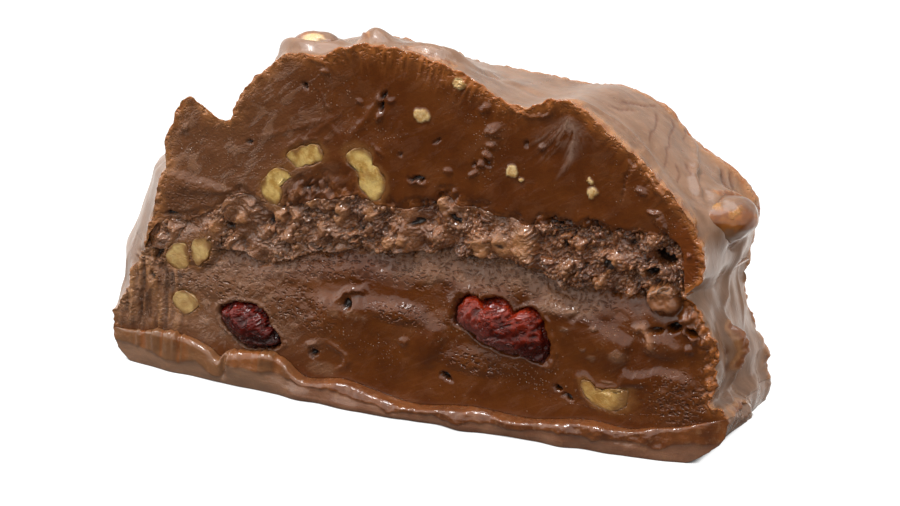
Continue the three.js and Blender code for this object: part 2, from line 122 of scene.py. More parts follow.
def noise(x, y, z, seed):
    """Smooth noise between -1 and 1, one cell to the unit."""
    x, y, z = np.broadcast_arrays(x, y, z)
    i, j, k = np.floor(x), np.floor(y), np.floor(z)
    a, b, c = (f * f * (3 - 2 * f) for f in (x - i, y - j, z - k))
    total = 0.0
    for di in (0, 1):
        for dj in (0, 1):
            for dk in (0, 1):
                weight = (a if di else 1 - a) * (b if dj else 1 - b) * (c if dk else 1 - c)
                total = total + weight * hash01(i + di, j + dj, k + dk, seed)
    return total * 2 - 1


def rough(x, z, size, seed, octaves=3):
    """Noise of a size in mm with finer noise on it."""
    total, share = 0.0, 1.0
    for octave in range(octaves):
        total = total + share * noise(x / size, z / size, 0.37 * octave, seed + octave)
        size, share = size / 2.1, share / 2
    return total


def smooth(value, low, high):
    part = np.clip((value - low) / (high - low), 0, 1)
    return part * part * (3 - 2 * part)


class Line:
    """A centripetal curve through points in x and z."""

    STEPS = 200

    def __init__(self, points):
        p = np.array([point[:2] for point in points], float)
        self.spans = len(p) - 1
        p = np.vstack([2 * p[0] - p[1], p, 2 * p[-1] - p[-2]])
        gaps = np.sqrt(np.linalg.norm(np.diff(p, axis=0), axis=1))[:, None]
        a, b, c = gaps[:-2], gaps[1:-1], gaps[2:]
        p0, p1, p2, p3 = p[:-3], p[1:-2], p[2:-1], p[3:]
        start = ((p1 - p0) / a - (p2 - p0) / (a + b) + (p2 - p1) / b) * b
        end = ((p2 - p1) / b - (p3 - p1) / (b + c) + (p3 - p2) / c) * b
        self.terms = (p1, start, -3 * p1 + 3 * p2 - 2 * start - end, 2 * p1 - 2 * p2 + start + end)
        steps = self.at(np.linspace(0, 1, self.STEPS + 1))
        lengths = np.append(0, np.cumsum(np.linalg.norm(np.diff(steps, axis=0), axis=1)))
        self.share = lengths / lengths[-1]

    def at(self, t):
        place = np.clip(t, 0, 1) * self.spans
        span = np.minimum(np.floor(place).astype(int), self.spans - 1)
        w = (place - span)[..., None]
        return sum(term[span] * w ** power for power, term in enumerate(self.terms))

    def place(self, fraction):
        return np.interp(fraction, self.share, np.linspace(0, 1, self.STEPS + 1))

    def along(self, fraction):
        return self.at(self.place(fraction))


FRONT_OUTLINE = Line(OUTLINE[:, 0:2])
BACK_OUTLINE = Line(OUTLINE[:, 2:4])


def bare_outline(row, depth):
    """The outline's points (x, y, z) at a row and at a fraction of the thickness."""
    row, depth = np.broadcast_arrays(np.asarray(row, float), np.asarray(depth, float))
    low, high = HORN_ROWS
    horn = smooth(row, low - 1, low + 1) * (1 - smooth(row, high - 1, high + 1))
    back = depth + horn * (1 - (1 - depth) ** 3 - depth)
    place = row / LAST_ROW
    xz = FRONT_OUTLINE.at(place) * (1 - back[..., None]) + BACK_OUTLINE.at(place) * back[..., None]
    x, z = xz[..., 0], xz[..., 1]
    swell = END_SWELL * np.sin(np.pi * depth) * smooth(z, *SWELL_STARTS) * (1 - smooth(z, *SWELL_ENDS))
    return np.stack([x - np.where(row < LEFT_FLANK_ROWS, swell, 0), THICKNESS * depth, z], -1)


def left_of(start, end):
    """The direction in x and z that points out of the outline, or up from a parting line."""
    across = np.stack([start[..., -1] - end[..., -1], end[..., 0] - start[..., 0]], -1)
    across = across / np.maximum(np.linalg.norm(across, axis=-1, keepdims=True), 1e-9)
    return np.stack([across[..., 0], 0 * across[..., 0], across[..., 1]], -1)


def outline(row, depth):
    """The outline with its swellings, its slow waves and the torn edges of the cuts."""
    row, depth = np.broadcast_arrays(np.asarray(row, float), np.asarray(depth, float))
    point = bare_outline(row, depth)
    outward = left_of(bare_outline(np.maximum(row - 0.3, 0), depth),
                      bare_outline(np.minimum(row + 0.3, LAST_ROW), depth))
    x, y, z = point[..., 0], point[..., 1], point[..., 2]
    size = COAT_WAVE_SIZE
    height = COAT_WAVE * noise(x / size, y / size, z / size, 1)
    for at, reach, rise in OUTSIDE_SWELLINGS:
        away = sum(((point[..., n] - at[n]) / reach[n]) ** 2 for n in range(3))
        height = height + rise * np.exp(-away)
    height = height * smooth(z, 0, 3) * smooth(y, 0, 2.5)
    torn = np.exp(-(np.minimum(y, THICKNESS - y) / TEAR_DEPTH) ** 2) * smooth(z, 0.4, 2.5)
    crumbly = 1 + 0.8 * smooth(np.abs(x), 38, 44) * smooth(z, 4, 8) * (1 - smooth(z, 24, 27))
    ragged = noise(x / 1.3, z / 1.3, y / 2, 3) + 0.7 * noise(x / 0.55, z / 0.55, y, 4)
    height = height + CUT_TEAR * crumbly * torn * ragged
    point = point + outward * height[..., None]
    point[..., 0] -= np.sign(x) * FOOT_TUCK * (1 - np.minimum(z / TUCK_HEIGHT, 1)) ** 2
    return point


def outline_part(start, end):
    return lambda fraction, depth: outline(start + (end - start) * np.asarray(fraction), depth)


def pleats(x):
    """Where the dragged-down fudge is pleated, and its pleats from -1 to 1."""
    where = smooth(x, -48.5, -46) * (1 - smooth(x, -38, -35)) + 0.8 * smooth(x, -29, -27.5) * (
        1 - smooth(x, -20, -17)) + 0.12
    return where, noise(x / 0.66 + 0.6 * noise(x / 3, 0, 0, 41), 0, 0, 42)


def parting(line, fraction, depth, lift=0.0, ragged=0.0):
    """A parting line's points at fractions of its length, `lift` mm above it."""
    fraction, depth = np.broadcast_arrays(np.asarray(fraction, float), np.asarray(depth, float))
    curve = line["curve"]

    def flat(xz):
        return np.stack([xz[..., 0], 0 * xz[..., 0], xz[..., 1]], -1)

    point = flat(curve.along(fraction))
    start = outline(line["rows"][0], depth) - flat(curve.at(np.zeros(depth.shape)))
    end = outline(line["rows"][1], depth) - flat(curve.at(np.ones(depth.shape)))
    up = left_of(flat(curve.along(np.maximum(fraction - 0.01, 0))),
                 flat(curve.along(np.minimum(fraction + 0.01, 1))))
    middle = np.sin(np.pi * fraction)
    point = point + start * (1 - fraction)[..., None] + end * fraction[..., None]
    point[..., 1] = THICKNESS * depth
    wave = 0.9 * depth * middle * noise(point[..., 0] / 9, 4 * depth, 0, 2)
    fray = ragged * rough(point[..., 0] + 7 * depth, 0, 2.6, 61) * np.minimum(1, 6 * middle)
    point[..., 2] += wave
    if "ruffle" in line:
        where, fold = pleats(point[..., 0])
        point[..., 2] += line["ruffle"] * where * fold * np.minimum(1, 20 * middle) * (1 - depth)
    return point + up * (lift + fray)[..., None]


def cut_bow(x, z):
    return CUT_BOW * (1 - (x / HALF_WIDTH) ** 2) * np.maximum(0, 1 - z / BOW_HEIGHT)


def on_cut(x, z, out, at_back):
    """How far a cut with some relief stands out of its plane."""
    return BACK_GAIN * out if at_back else cut_bow(x, z) + out


def near_stroke(x, z, points):
    """Distance to a stroke drawn through points, the side it is on, and how far along it is."""
    best = np.full(np.shape(x), 1e9)
    side, along = np.zeros(np.shape(x)), np.zeros(np.shape(x))
    last = len(points) - 1
    for number, ((ax, az), (bx, bz)) in enumerate(zip(points[:-1], points[1:])):
        dx, dz = bx - ax, bz - az
        t = np.clip(((x - ax) * dx + (z - az) * dz) / (dx * dx + dz * dz), 0, 1)
        away = np.hypot(x - ax - t * dx, z - az - t * dz)
        nearer = away < best
        best = np.where(nearer, away, best)
        side = np.where(nearer, np.sign((z - az) * dx - (x - ax) * dz), side)
        along = np.where(nearer, (number + t) / last, along)
    return best, side, along


def marks(x, z, spots=(), strokes=(), ledges=()):
    """Height of small marks: spots (x, z, length, width, tilt, height), strokes (points, width,
    height) and ledges (points, rise, ramp), below which the face stands out by the rise."""
    height = np.zeros(np.shape(x))
    for sx, sz, length, width, tilt, rise in spots:
        c, s = math.cos(math.radians(tilt)), math.sin(math.radians(tilt))
        a = ((x - sx) * c + (z - sz) * s) / (length / 2)
        b = ((z - sz) * c - (x - sx) * s) / (width / 2)
        height += rise * np.exp(-((a * a + b * b) ** 2))
    for points, width, rise in strokes:
        away, _, along = near_stroke(x, z, points)
        taper = np.sqrt(np.clip(4 * along * (1 - along) + 0.15, 0, 1))
        height += rise * taper * np.exp(-((away / (width / 2)) ** 2))
    for points, rise, ramp in ledges:
        away, side, along = near_stroke(x, z, points)
        fade = smooth(along, 0, 0.12) * (1 - smooth(along, 0.88, 1))
        below = np.where(side < 0, away, -away)
        height += rise * fade * smooth(below, -ramp / 2, ramp / 2) * (
            1 - smooth(below, ramp, 5 * ramp))
    return height


def cells(x, z, size, seed):
    """Distances to the nearest and second nearest of scattered points, in cells, and the
    nearest one's number between 0 and 1."""
    x, z = np.asarray(x) / size, np.asarray(z) / size
    first, second = np.full(x.shape, 9.0), np.full(x.shape, 9.0)
    number = np.zeros(x.shape)
    i, k = np.floor(x), np.floor(z)
    for di in (-1, 0, 1):
        for dk in (-1, 0, 1):
            a, b = i + di, k + dk
            px, pz = a + hash01(a, b, 1, seed), b + hash01(a, b, 2, seed)
            away = np.hypot(x - px, z - pz)
            nearer = away < first
            second = np.where(nearer, first, np.minimum(second, away))
            number = np.where(nearer, hash01(a, b, 3, seed), number)
            first = np.where(nearer, away, first)
    return first, second, number


OUTLINE_SAMPLES = [line.at(np.linspace(0, 1, 900)) for line in (FRONT_OUTLINE, BACK_OUTLINE)]
NEAREST_AT_ONCE = 2000  # points of a cut whose nearest samples are looked for together


def edge_place(x, z, at_back):
    """How far points of a cut are from its outline, and how far round it they are, in mm."""
    samples = OUTLINE_SAMPLES[at_back]
    flat = np.stack([np.ravel(x), np.ravel(z)], -1)
    ways = np.gradient(samples, axis=0)
    steps = np.linalg.norm(ways, axis=1)
    run = np.append(0, np.cumsum(steps[:-1]))
    best, place = [], []
    for part in np.array_split(flat, max(1, len(flat) // NEAREST_AT_ONCE)):
        squares = ((part[:, None] - samples[None]) ** 2).sum(-1)
        nearest = squares.argmin(1)
        best.append(np.sqrt(squares.min(1)))
        past = ((part - samples[nearest]) * ways[nearest]).sum(1) / steps[nearest]
        place.append(run[nearest] + np.clip(past, -steps[nearest], steps[nearest]))
    return [np.concatenate(found).reshape(np.shape(x)) for found in (best, place)]


def comb(edge, place, seed):
    """Fine teeth across a cut's edge, where the fudge was dragged over it."""
    return noise(place / 0.5, edge / 2.2, 0, seed) + 0.5 * noise(
        place / 0.23, edge / 1.2, 0, seed + 1)


def put_mesh(name, vertices, faces, masks, material, node_name):
    """A piece in a node's place, from vertices in the slice's own places; masks become attributes."""
    placed = (np.asarray(vertices, float) + (SIDE_SHIFT, CUT_PLANE, 0)) * MM
    mesh = bpy.data.meshes.new(name)
    mesh.from_pydata(placed.tolist(), [], faces)
    for mask, values in masks.items():
        attribute = mesh.attributes.new(mask, "FLOAT", "POINT")
        attribute.data.foreach_set("value", np.clip(values, 0, 1).astype(np.float32))
    mesh.shade_smooth()
    mesh.materials.append(material)
    mesh.update()
    piece = bpy.data.objects.new(name, mesh)
    bpy.context.scene.collection.objects.link(piece)
    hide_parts(node_name)
    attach(piece, "root")
    return piece


OUTSIDE_MIDDLE = 8.0  # height of the middle of the oval that the outside roughly follows
OUTSIDE_HEIGHT = 50.0  # and the oval's half height


def away_from_middle(points):
    """The direction out of the slice at points of its outside, the same for pieces that meet."""
    x, z = points[..., 0], points[..., 2]
    way = np.stack([x / HALF_WIDTH ** 2, 0 * x, (z - OUTSIDE_MIDDLE) / OUTSIDE_HEIGHT ** 2], -1)
    return way / np.linalg.norm(way, axis=-1, keepdims=True)


HIDDEN_COLUMNS = 10  # of a parting's cells beside the outside, which follow its dents
WALL_FADE = 0.1  # share of the thickness over which a cut's relief fades into the outside


def fewer_faces(number):
    """Faces over a grid of vertices, each as wide as four cells; the border keeps all its own."""
    last_column, last_row = number.shape[0] - 1, number.shape[1] - 1
    faces = []
    for i in range(0, last_column, 2):
        for j in range(0, last_row, 2):
            ring = [(i, j), (i + 1, j), (i + 2, j), (i + 2, j + 1), (i + 2, j + 2), (i + 1, j + 2),
                    (i, j + 2), (i, j + 1)]
            kept = [True, j == 0, True, i + 2 == last_column, True, j + 2 == last_row, True, i == 0]
            faces.append([int(number[place]) for place, stays in zip(ring, kept) if stays])
    return faces


def layer(name, node_name, slot_name, material, across, up, edges, relief, shown, finish, levels,
          ups=None):
    """A layer from cut to cut. `edges` gives its bottom, top, left and right, `relief` how far a cut
    stands out and its masks, `shown` the sides that are outside, `finish` how the outside differs
    from a smooth one and its masks, and `levels` its steps through the thickness."""
    bottom, top = edges[:2]
    u = np.linspace(0, 1, across + 1)
    w = np.linspace(0, 1, up + 1) if ups is None else ups
    n, m = len(u), len(w)
    uu, ww = np.meshgrid(u, w, indexing="ij")

    def drawn(edge, end):
        """A side edge, drawn to the ends of the bottom and the top."""
        def path(fraction, depth):
            fraction, depth = np.broadcast_arrays(np.asarray(fraction, float),
                                                  np.asarray(depth, float))
            low, high = bottom(end + 0 * fraction, depth), top(end + 0 * fraction, depth)
            part = fraction[..., None]
            if edge is None:
                return low * (1 - part) + high * part
            return (edge(fraction, depth) + (low - edge(0 * fraction, depth)) * (1 - part)
                    + (high - edge(0 * fraction + 1, depth)) * part)
        return path

    left, right = drawn(edges[2], 0.0), drawn(edges[3], 1.0)

    def face(depth):
        a, b = uu[..., None], ww[..., None]
        low, high = bottom(u, depth)[:, None], top(u, depth)[:, None]
        corners = ((low[:1] * (1 - b) + high[:1] * b) * (1 - a)
                   + (low[-1:] * (1 - b) + high[-1:] * b) * a)
        return (low * (1 - b) + high * b + left(w, depth)[None] * (1 - a)
                + right(w, depth)[None] * a - corners)

    front, back = face(0.0), face(1.0)
    front_out, front_masks = relief(front[..., 0], front[..., 2], ww, False)
    back_out, back_masks = relief(back[..., 0], back[..., 2], ww, True)
    front[..., 1] = -front_out
    back[..., 1] = THICKNESS + back_out

    number = np.arange(n * m).reshape(n, m)
    quads = np.stack([number[:-1, :-1], number[1:, :-1], number[1:, 1:], number[:-1, 1:]], -1)
    faces = quads.reshape(-1, 4).tolist()
    faces += [ring[::-1] for ring in fewer_faces(number + n * m)]

    # The loop round the cut, anticlockwise from the front: grid number, side and fraction of it.
    paths = {"bottom": bottom, "right": right, "top": top, "left": left}
    sides = [("bottom", number[:, 0], u), ("right", number[-1], w),
             ("top", number[::-1, -1], u[::-1]), ("left", number[0, ::-1], w[::-1])]
    loop = np.concatenate([ids[:-1] for _, ids, _ in sides])
    run = [side for side, ids, _ in sides for _ in ids[:-1]]
    fractions = np.concatenate([part[:-1] for _, _, part in sides])
    size = len(loop)
    shows = [side in shown for side in run]
    beside = range(-HIDDEN_COLUMNS - 1, HIDDEN_COLUMNS + 1)
    standing = [p for p in range(size) if any(shows[(p + step) % size] for step in beside)]
    inner = levels[1:-1]
    rank = {p: order for order, p in enumerate(standing)}
    rows = np.zeros((len(standing), len(inner), 3))
    for side in dict.fromkeys(run[p] for p in standing):
        chosen = [p for p in standing if run[p] == side]
        rows[[rank[p] for p in chosen]] = paths[side](fractions[chosen][:, None], inner[None])
    near_front = np.clip(1 - inner / WALL_FADE, 0, 1) ** 2
    near_back = np.clip(1 - (1 - inner) / WALL_FADE, 0, 1) ** 2
    rows[..., 1] = (THICKNESS * inner - front_out.ravel()[loop[standing]][:, None] * near_front
                    + back_out.ravel()[loop[standing]][:, None] * near_back)
    rows, wall_masks = finish(rows, away_from_middle(rows))

    def column(p):
        """The numbers of a loop point and those behind it, from the front cut to the back one."""
        first = 2 * n * m + rank[p] * len(inner) if p in rank else 0
        return [int(loop[p]), *range(first, first + len(inner) * (p in rank)), int(loop[p] + n * m)]

    for p in range(size):
        a, b = column(p), column((p + 1) % size)
        if p in rank and (p + 1) % size in rank:
            faces += [[a[s], a[s + 1], b[s + 1], b[s]] for s in range(len(a) - 1)]
        else:
            faces.append(a + b[::-1])
    masks = {}
    for mask in sorted(set(front_masks) | set(wall_masks)):
        parts = [np.broadcast_to(found.get(mask, 0.0), shape) for found, shape in (
            (front_masks, (n, m)), (back_masks, (n, m)), (wall_masks, rows.shape[:2]))]
        masks[mask] = np.concatenate([part.ravel() for part in parts])
    vertices = np.concatenate([front.reshape(-1, 3), back.reshape(-1, 3), rows.reshape(-1, 3)])
    used, renumbered = np.unique(np.concatenate(faces), return_inverse=True)
    ends = np.cumsum([len(ring) for ring in faces])[:-1]
    faces = [ring.tolist() for ring in np.split(renumbered, ends)]
    masks = {mask: values[used] for mask, values in masks.items()}
    return put_mesh(name, vertices[used], faces, masks, material, node_name)


# Steps through the thickness, close together behind the cuts.
NEAR_CUT = np.array([0, 0.012, 0.026, 0.043, 0.063, 0.086])
LEVELS = np.concatenate([NEAR_CUT, np.linspace(0.105, 0.895, 84), 1 - NEAR_CUT[::-1]])
UPPER_LEVELS = np.concatenate([NEAR_CUT, np.linspace(0.11, 0.89, 44), 1 - NEAR_CUT[::-1]])


def near_path(p, points):
    """Distance of points in space to a path, and how far along it they are."""
    best, along = np.full(p.shape[:-1], 1e9), np.zeros(p.shape[:-1])
    for number, (a, b) in enumerate(zip(np.array(points[:-1]), np.array(points[1:]))):
        t = np.clip((p - a) @ (b - a) / ((b - a) @ (b - a)), 0, 1)
        away = np.linalg.norm(p - a - t[..., None] * (b - a), axis=-1)
        along = np.where(away < best, (number + t) / (len(points) - 1), along)
        best = np.minimum(best, away)
    return best, along


# Ridges, dents and hairline cracks in the outside: points x, y and z, width, height.
OUTSIDE_RIDGES = [
    ([(27.4, 1.6, 53.2), (29.6, 3, 52), (33, 4.4, 49.6), (36.2, 4.6, 47.2),
      (40.4, 2.6, 44.1)], 1.5, 0.55),
    ([(39.9, 19.6, 43.4), (42.1, 14.4, 41.9), (43.4, 10, 41.1), (44.6, 7.9, 39.7), (45.7, 5.4, 38.3),
      (46.7, 3.3, 37.2)], 1.3, 0.65),
    ([(42.6, 14.4, 41.6), (44.2, 10.2, 40.3), (45.6, 8, 38.6), (46.6, 6, 37.2)], 1, -0.5),
    ([(44.8, 17.6, 40.3), (45.7, 15.4, 39.5), (46.5, 13.6, 38.6)], 0.7, 0.3),
    ([(50.3, 12.8, 30), (48.8, 12.6, 25.7), (48.8, 10.5, 22.7), (50.4, 6.4, 20.9)], 1.3, 0.6),
    ([(49.4, 17.5, 27), (49, 16.4, 22.3), (50.6, 14.6, 17.4)], 1.2, 0.5),
    ([(50.9, 6.9, 19.8), (52, 6.9, 18), (52.3, 7, 16.1), (52.1, 6.4, 14)], 2, 1.5),
    ([(52.2, 6.2, 14.4), (51.6, 6.3, 11.3), (51.4, 5.4, 9.3), (52, 4.2, 8.4)], 1.2, 0.7),
    ([(50.4, 3.8, 19.4), (51, 4.4, 16.4), (51.2, 4.2, 13), (50.8, 3.4, 10)], 1.5, -0.35),
    ([(51.2, 9, 20), (52.2, 9.2, 15), (52, 8.6, 9.4)], 1.5, -0.6),
    ([(47.6, 18.2, 38.4), (49.6, 18, 35.6), (50.4, 17.6, 33)], 3, -0.7),
    ([(53, 17.6, 12), (53.4, 17.6, 5)], 4, -0.8),
    ([(47.4, 4.6, 32.6), (49, 8.2, 31.4), (49.8, 11.4, 30.8), (50, 13.6, 31.4)], 1.6, -0.7),
    ([(9, 3.6, 56), (12.3, 8.2, 53.4), (18.1, 9, 51.4), (21.3, 8.6, 50.9)], 2.4, -0.4),
    ([(-0.4, 2.1, 58.2), (2.7, 2.6, 57.9), (5.8, 2.8, 57.4), (8, 5.1, 56.5), (9.8, 7.7, 54.7)], 2.4, 0.6),
    ([(11, 6, 54.4), (12.4, 10, 52.4), (12, 14, 51.6)], 2.6, -0.5),
    ([(-8.6, 1.8, 57), (-7.4, 3.4, 57.8), (-7.6, 5.4, 57)], 1.2, -0.6),
    ([(-1, 2.2, 58.2), (5, 3, 57.4), (9, 2.4, 56.2)], 0.8, -0.4),
    ([(52.7, 4.2, 8.4), (53, 4.5, 5), (52.5, 4.2, 1.6)], 0.9, -0.7),
    ([(53, 6.8, 5.6), (53, 9.8, 4.8)], 4.2, 1.1),
    ([(-50.6, 2.4, 6), (-51.5, 4, 12), (-48, 4.6, 20), (-45, 4, 26)], 1.6, 0.35),
    ([(-52, 7, 8), (-52.6, 9, 16), (-49.4, 9, 24)], 1.8, -0.35),
]
OUTSIDE_CRACKS = [
    ([(31, 11.4, 50.4), (32.5, 14.6, 49.5), (33.6, 15.9, 48.8), (34.3, 18.2, 48.4)], 0.45, -0.25),
    ([(30.4, 8.6, 50.7), (31.8, 9.5, 49.9), (32.9, 12.3, 49.3)], 0.4, -0.15),
    ([(35.3, 16.2, 47.7), (35.8, 14.9, 47.3), (36.4, 12, 46.9), (36.6, 9.7, 46.7),
      (37.1, 8.2, 46)], 0.34, -0.1),
    ([(36.8, 18.2, 46.6), (37.8, 17.2, 45.6), (38.2, 14.1, 45.2), (39.2, 10, 44.5),
      (40.2, 6.2, 43)], 0.34, -0.1),
    ([(38.6, 19.8, 44.7), (39, 19, 44.3), (39.4, 16.7, 43.9)], 0.34, -0.1),
    ([(40.9, 8.7, 42.8), (41.8, 8.2, 41.9), (42.4, 5.9, 41.1)], 0.36, -0.12),
    ([(45.4, 17.9, 39.8), (46.3, 15.6, 39), (47.1, 14.1, 38.1)], 0.65, -0.55),
    ([(46.3, 19.2, 39.2), (47.1, 17.4, 38.3), (47.7, 14.9, 37.6)], 0.55, -0.45),
    ([(41.6, 11, 42.4), (43, 9.6, 41), (44.2, 8.6, 39.6)], 0.5, -0.3),
    ([(47.8, 3.4, 34), (48.9, 6.4, 32.8), (49.8, 10.6, 30.9)], 0.8, -0.5),
    ([(50, 9, 18), (50.8, 9.2, 10)], 0.5, -0.2),
    ([(51, 3.4, 20), (51.4, 4.6, 16.4), (51.2, 4.6, 12)], 0.45, -0.25),
]

# Where the outside's coat was torn off: points x, y and z, and half the width.
OUTSIDE_BARE = [
    ([(51.1, 6.7, 19.6), (52.3, 6.8, 17.8), (52.6, 6.9, 16.1), (52.3, 6.2, 14.2)], 1.6),
    ([(53, 5.6, 7.2), (53.2, 7.4, 6.2), (52.8, 10.2, 5.2)], 1.9),
    ([(52.6, 2, 7.6), (53.2, 4, 7.4)], 1.4), ([(46.4, 9.8, 38.2), (48.4, 13.6, 37.2)], 0.8),
    ([(-21.9, 2, 52.8), (-21.2, 2.6, 53.8)], 0.8), ([(-6.8, 2, 58.2), (-5.8, 2.4, 58.4)], 0.9),
    ([(0.5, 1.2, 57.8), (4.6, 1.2, 57.2), (8.6, 1.4, 56)], 0.5),
]
TORN_HOLE = (52.9, 6.6, 6.9)  # the hollow in the lowest bare patch, laid dark with painted shade
TORN_HOLE_SIZE, TORN_HOLE_DEPTH = 0.8, 0.8

# The two nuts under the coat, which it swells up round: middle x, y and z, and half sizes.
NUTS_UNDER_COAT = {
    "walnut_top": ((-16.6, 5.6, 54.8), (4.4, 3.3, 2.5)),
    "walnut_side": ((49.4, 9.6, 35.4), (4.2, 4.6, 3.3)),
}
NUT_FILLET = 1.3  # height of the coat's swelling round them
COAT_RIM = 0.5  # how far in from a cut the coat is worn off, where nothing wears it more


def coat_finish(rows, outward):
    """Ridges, runs, cracks and torn patches of the outside, and how far each point is coated."""
    x, y, z = rows[..., 0], rows[..., 1], rows[..., 2]
    steep = smooth(np.abs(x), 30, 44)
    height = (0.04 + 0.12 * steep) * noise(y / 1.6, z / 8, x / 14, 31)
    height = height + 0.06 * noise(x / 2.1, y / 2.1, z / 2.1, 32)

    # ridges, dents and cracks, along paths that wander a little
    pushes = [noise(*(rows / 1.4 + k).transpose(2, 0, 1), 33) for k in (0, 7, 13)]
    wandering = rows + 0.3 * np.stack(pushes, -1)
    for points, width, rise in OUTSIDE_RIDGES + OUTSIDE_CRACKS:
        away, along = near_path(wandering, points)
        taper = np.sqrt(np.clip(4 * along * (1 - along) + 0.1, 0, 1))
        height = height + rise * taper * np.exp(-(away / width * 2) ** 2)
    crack = np.zeros(x.shape)
    for points, width, _ in OUTSIDE_CRACKS:
        away, _ = near_path(wandering, points)
        crack = np.maximum(crack, np.exp(-(away / width * 1.6) ** 2))

    # the coat's swelling round the nuts, and the patches where it was torn off
    for middle, half_size in NUTS_UNDER_COAT.values():
        reach = np.linalg.norm((rows - middle) / half_size, axis=-1)
        height = height + NUT_FILLET * np.exp(-((reach - 1.02) / 0.36) ** 2)
    bared, torn = np.zeros(x.shape), np.zeros(x.shape)
    for points, width in OUTSIDE_BARE:
        away = near_path(wandering, points)[0] / width
        bared = np.maximum(bared, 1 - smooth(away, 0.65, 1.1))
        torn = np.maximum(torn, 1 - smooth(away, 0.4, 0.85))
    torn_lumps, _, _ = cells(y + x, z, 1.1, 37)
    height = height + bared * (0.45 - 0.7 * torn_lumps)
    # painted shade: the hollow is dented and also laid dark inside
    hole = np.exp(-(np.linalg.norm(wandering - TORN_HOLE, axis=-1) / TORN_HOLE_SIZE) ** 4)
    height = height - TORN_HOLE_DEPTH * hole

    # along the cuts the coat is worn off and ragged, most on the right shoulder and flank
    away = np.minimum(y, THICKNESS - y)
    height = height * smooth(away, 0.2, 1.6) * smooth(z, 0.2, 2.5)
    ragged = noise(x / 1.1, y / 1.1, z / 1.1, 34) + 0.6 * noise(x / 0.5, y / 0.5, z / 0.5, 35)
    bare = COAT_RIM + 1.3 * np.exp(-((x - 27) / 4.5) ** 4) * (z > 40)
    bare = bare + 1.2 * smooth(x, 28, 33) * smooth(z, 30, 36)
    bare = bare + 0.7 * smooth(y, 12, 16) * smooth(x, 46, 49)
    bare = bare * (1 + 0.45 * ragged)
    rim = np.exp(-(np.maximum(away, 0) / np.maximum(bare, 0.2)) ** 2)
    height = height + 0.2 * rim * ragged * smooth(away, 0.05, 0.5)
    return rows + outward * height[..., None], {
        "coat": smooth(away, 0.3 * bare, 0.9 * bare) * (1 - bared), "rim": 0.5 * rim,
        "crust": np.maximum(0.8 * rim * smooth(ragged, -0.6, 0.4), bared * (1 - 0.8 * torn)),
        "deep": 0.95 * torn * (x > 40), "crack": 0.8 * crack, "gloom": 0.9 * hole}


SEAM_ROWS = (1.4, 5.0, 33.0, 38.05)  # where two layers' partings meet the outside
SEAM_REACH = 1.3


def settle(x, z, out, at_back):
    """A cut's relief, evened out round the seams' ends, so that both layers stand out the same."""
    near = np.zeros(np.shape(x))
    for row in SEAM_ROWS:
        sx, _, sz = outline(row, 1.0 if at_back else 0.0)
        near = np.maximum(near, np.exp(-((x - sx) ** 2 + (z - sz) ** 2) / SEAM_REACH ** 2))
    return out * (1 - near)


# ---- nodes, the finishes made of them and the effects that several finishes share ----
class Nodes:
    """A tree of nodes, written as steps."""

    def __init__(self, tree):
        self.tree = tree

    def link(self, value, socket):
        """Joins another node's output to a socket, or sets the socket to a value."""
        if isinstance(value, bpy.types.NodeSocket):
            self.tree.links.new(value, socket)
        else:
            socket.default_value = value

    def add(self, kind, settings=None, **inputs):
        """A node; inputs go by their names, or as i0, i1 and so on by their numbers."""
        made = self.tree.nodes.new(kind)
        for key, value in (settings or {}).items():
            setattr(made, key, value)
        for key, value in inputs.items():
            numbered = key[0] == "i" and key[1:].isdigit()
            self.link(value, made.inputs[int(key[1:]) if numbered else key.replace("_", " ")])
        return made

    def math(self, operation, a, b=0.0, c=0.0, clamp=False):
        settings = {"operation": operation, "use_clamp": clamp}
        return self.add("ShaderNodeMath", settings, i0=a, i1=b, i2=c).outputs[0]

    def times(self, a, b):
        return self.math("MULTIPLY", a, b)

    def line(self, value, slope, start):
        return self.math("MULTIPLY_ADD", value, slope, start)

    def total(self, first, *others):
        for other in others:
            first = self.math("ADD", first, other)
        return first

    def rest_of(self, share):
        return self.math("SUBTRACT", 1.0, share)

    def ramp(self, value, low, high):
        """From 0 to 1 as a value goes from low to high, slow at both ends."""
        return self.add("ShaderNodeMapRange", {"interpolation_type": "SMOOTHSTEP"}, Value=value,
                        From_Min=low, From_Max=high).outputs[0]


def colour(red, green, blue):
    """A linear colour from how it looks, 0 to 255."""
    linear = (((c / 255 + 0.055) / 1.055) ** 2.4 if c > 10 else c / 255 / 12.92
              for c in (red, green, blue))
    return tuple(linear) + (1,)


class Shading(Nodes):
    """A tree of shader nodes whose patterns lie on the piece. Noise counts in cells to the metre."""

    def __init__(self, tree):
        super().__init__(tree)
        self.place = self.add("ShaderNodeTexCoord").outputs["Object"]

    def noise(self, scale, detail, place=None, part=0, **more):
        place = self.place if place is None else place
        return self.add("ShaderNodeTexNoise", Vector=place, Scale=scale, Detail=detail,
                        **more).outputs[part]

    def vector(self, operation, a, b, c=(0, 0, 0)):
        settings = {"operation": operation}
        return self.add("ShaderNodeVectorMath", settings, i0=a, i1=b, i2=c).outputs[0]

    def turned(self, rotation):
        """The piece's places, turned by angles about x, y and z."""
        return self.add("ShaderNodeVectorRotate", {"rotation_type": "EULER_XYZ"},
                        Vector=self.place, Rotation=rotation).outputs[0]

    def mask(self, name):
        return self.add("ShaderNodeAttribute", {"attribute_name": name}).outputs["Fac"]

    def mix(self, share, a, b):
        """A mix of two colours; the share may be a mask's name, and a colour how it looks."""
        share = self.mask(share) if isinstance(share, str) else share
        a, b = (colour(*c) if isinstance(c, tuple) and len(c) == 3 else c for c in (a, b))
        return self.add("ShaderNodeMix", {"data_type": "RGBA"}, i0=share, i6=a, i7=b).outputs[2]

    def effect(self, group, **values):
        return self.add("ShaderNodeGroup", {"node_tree": group}, **values).outputs


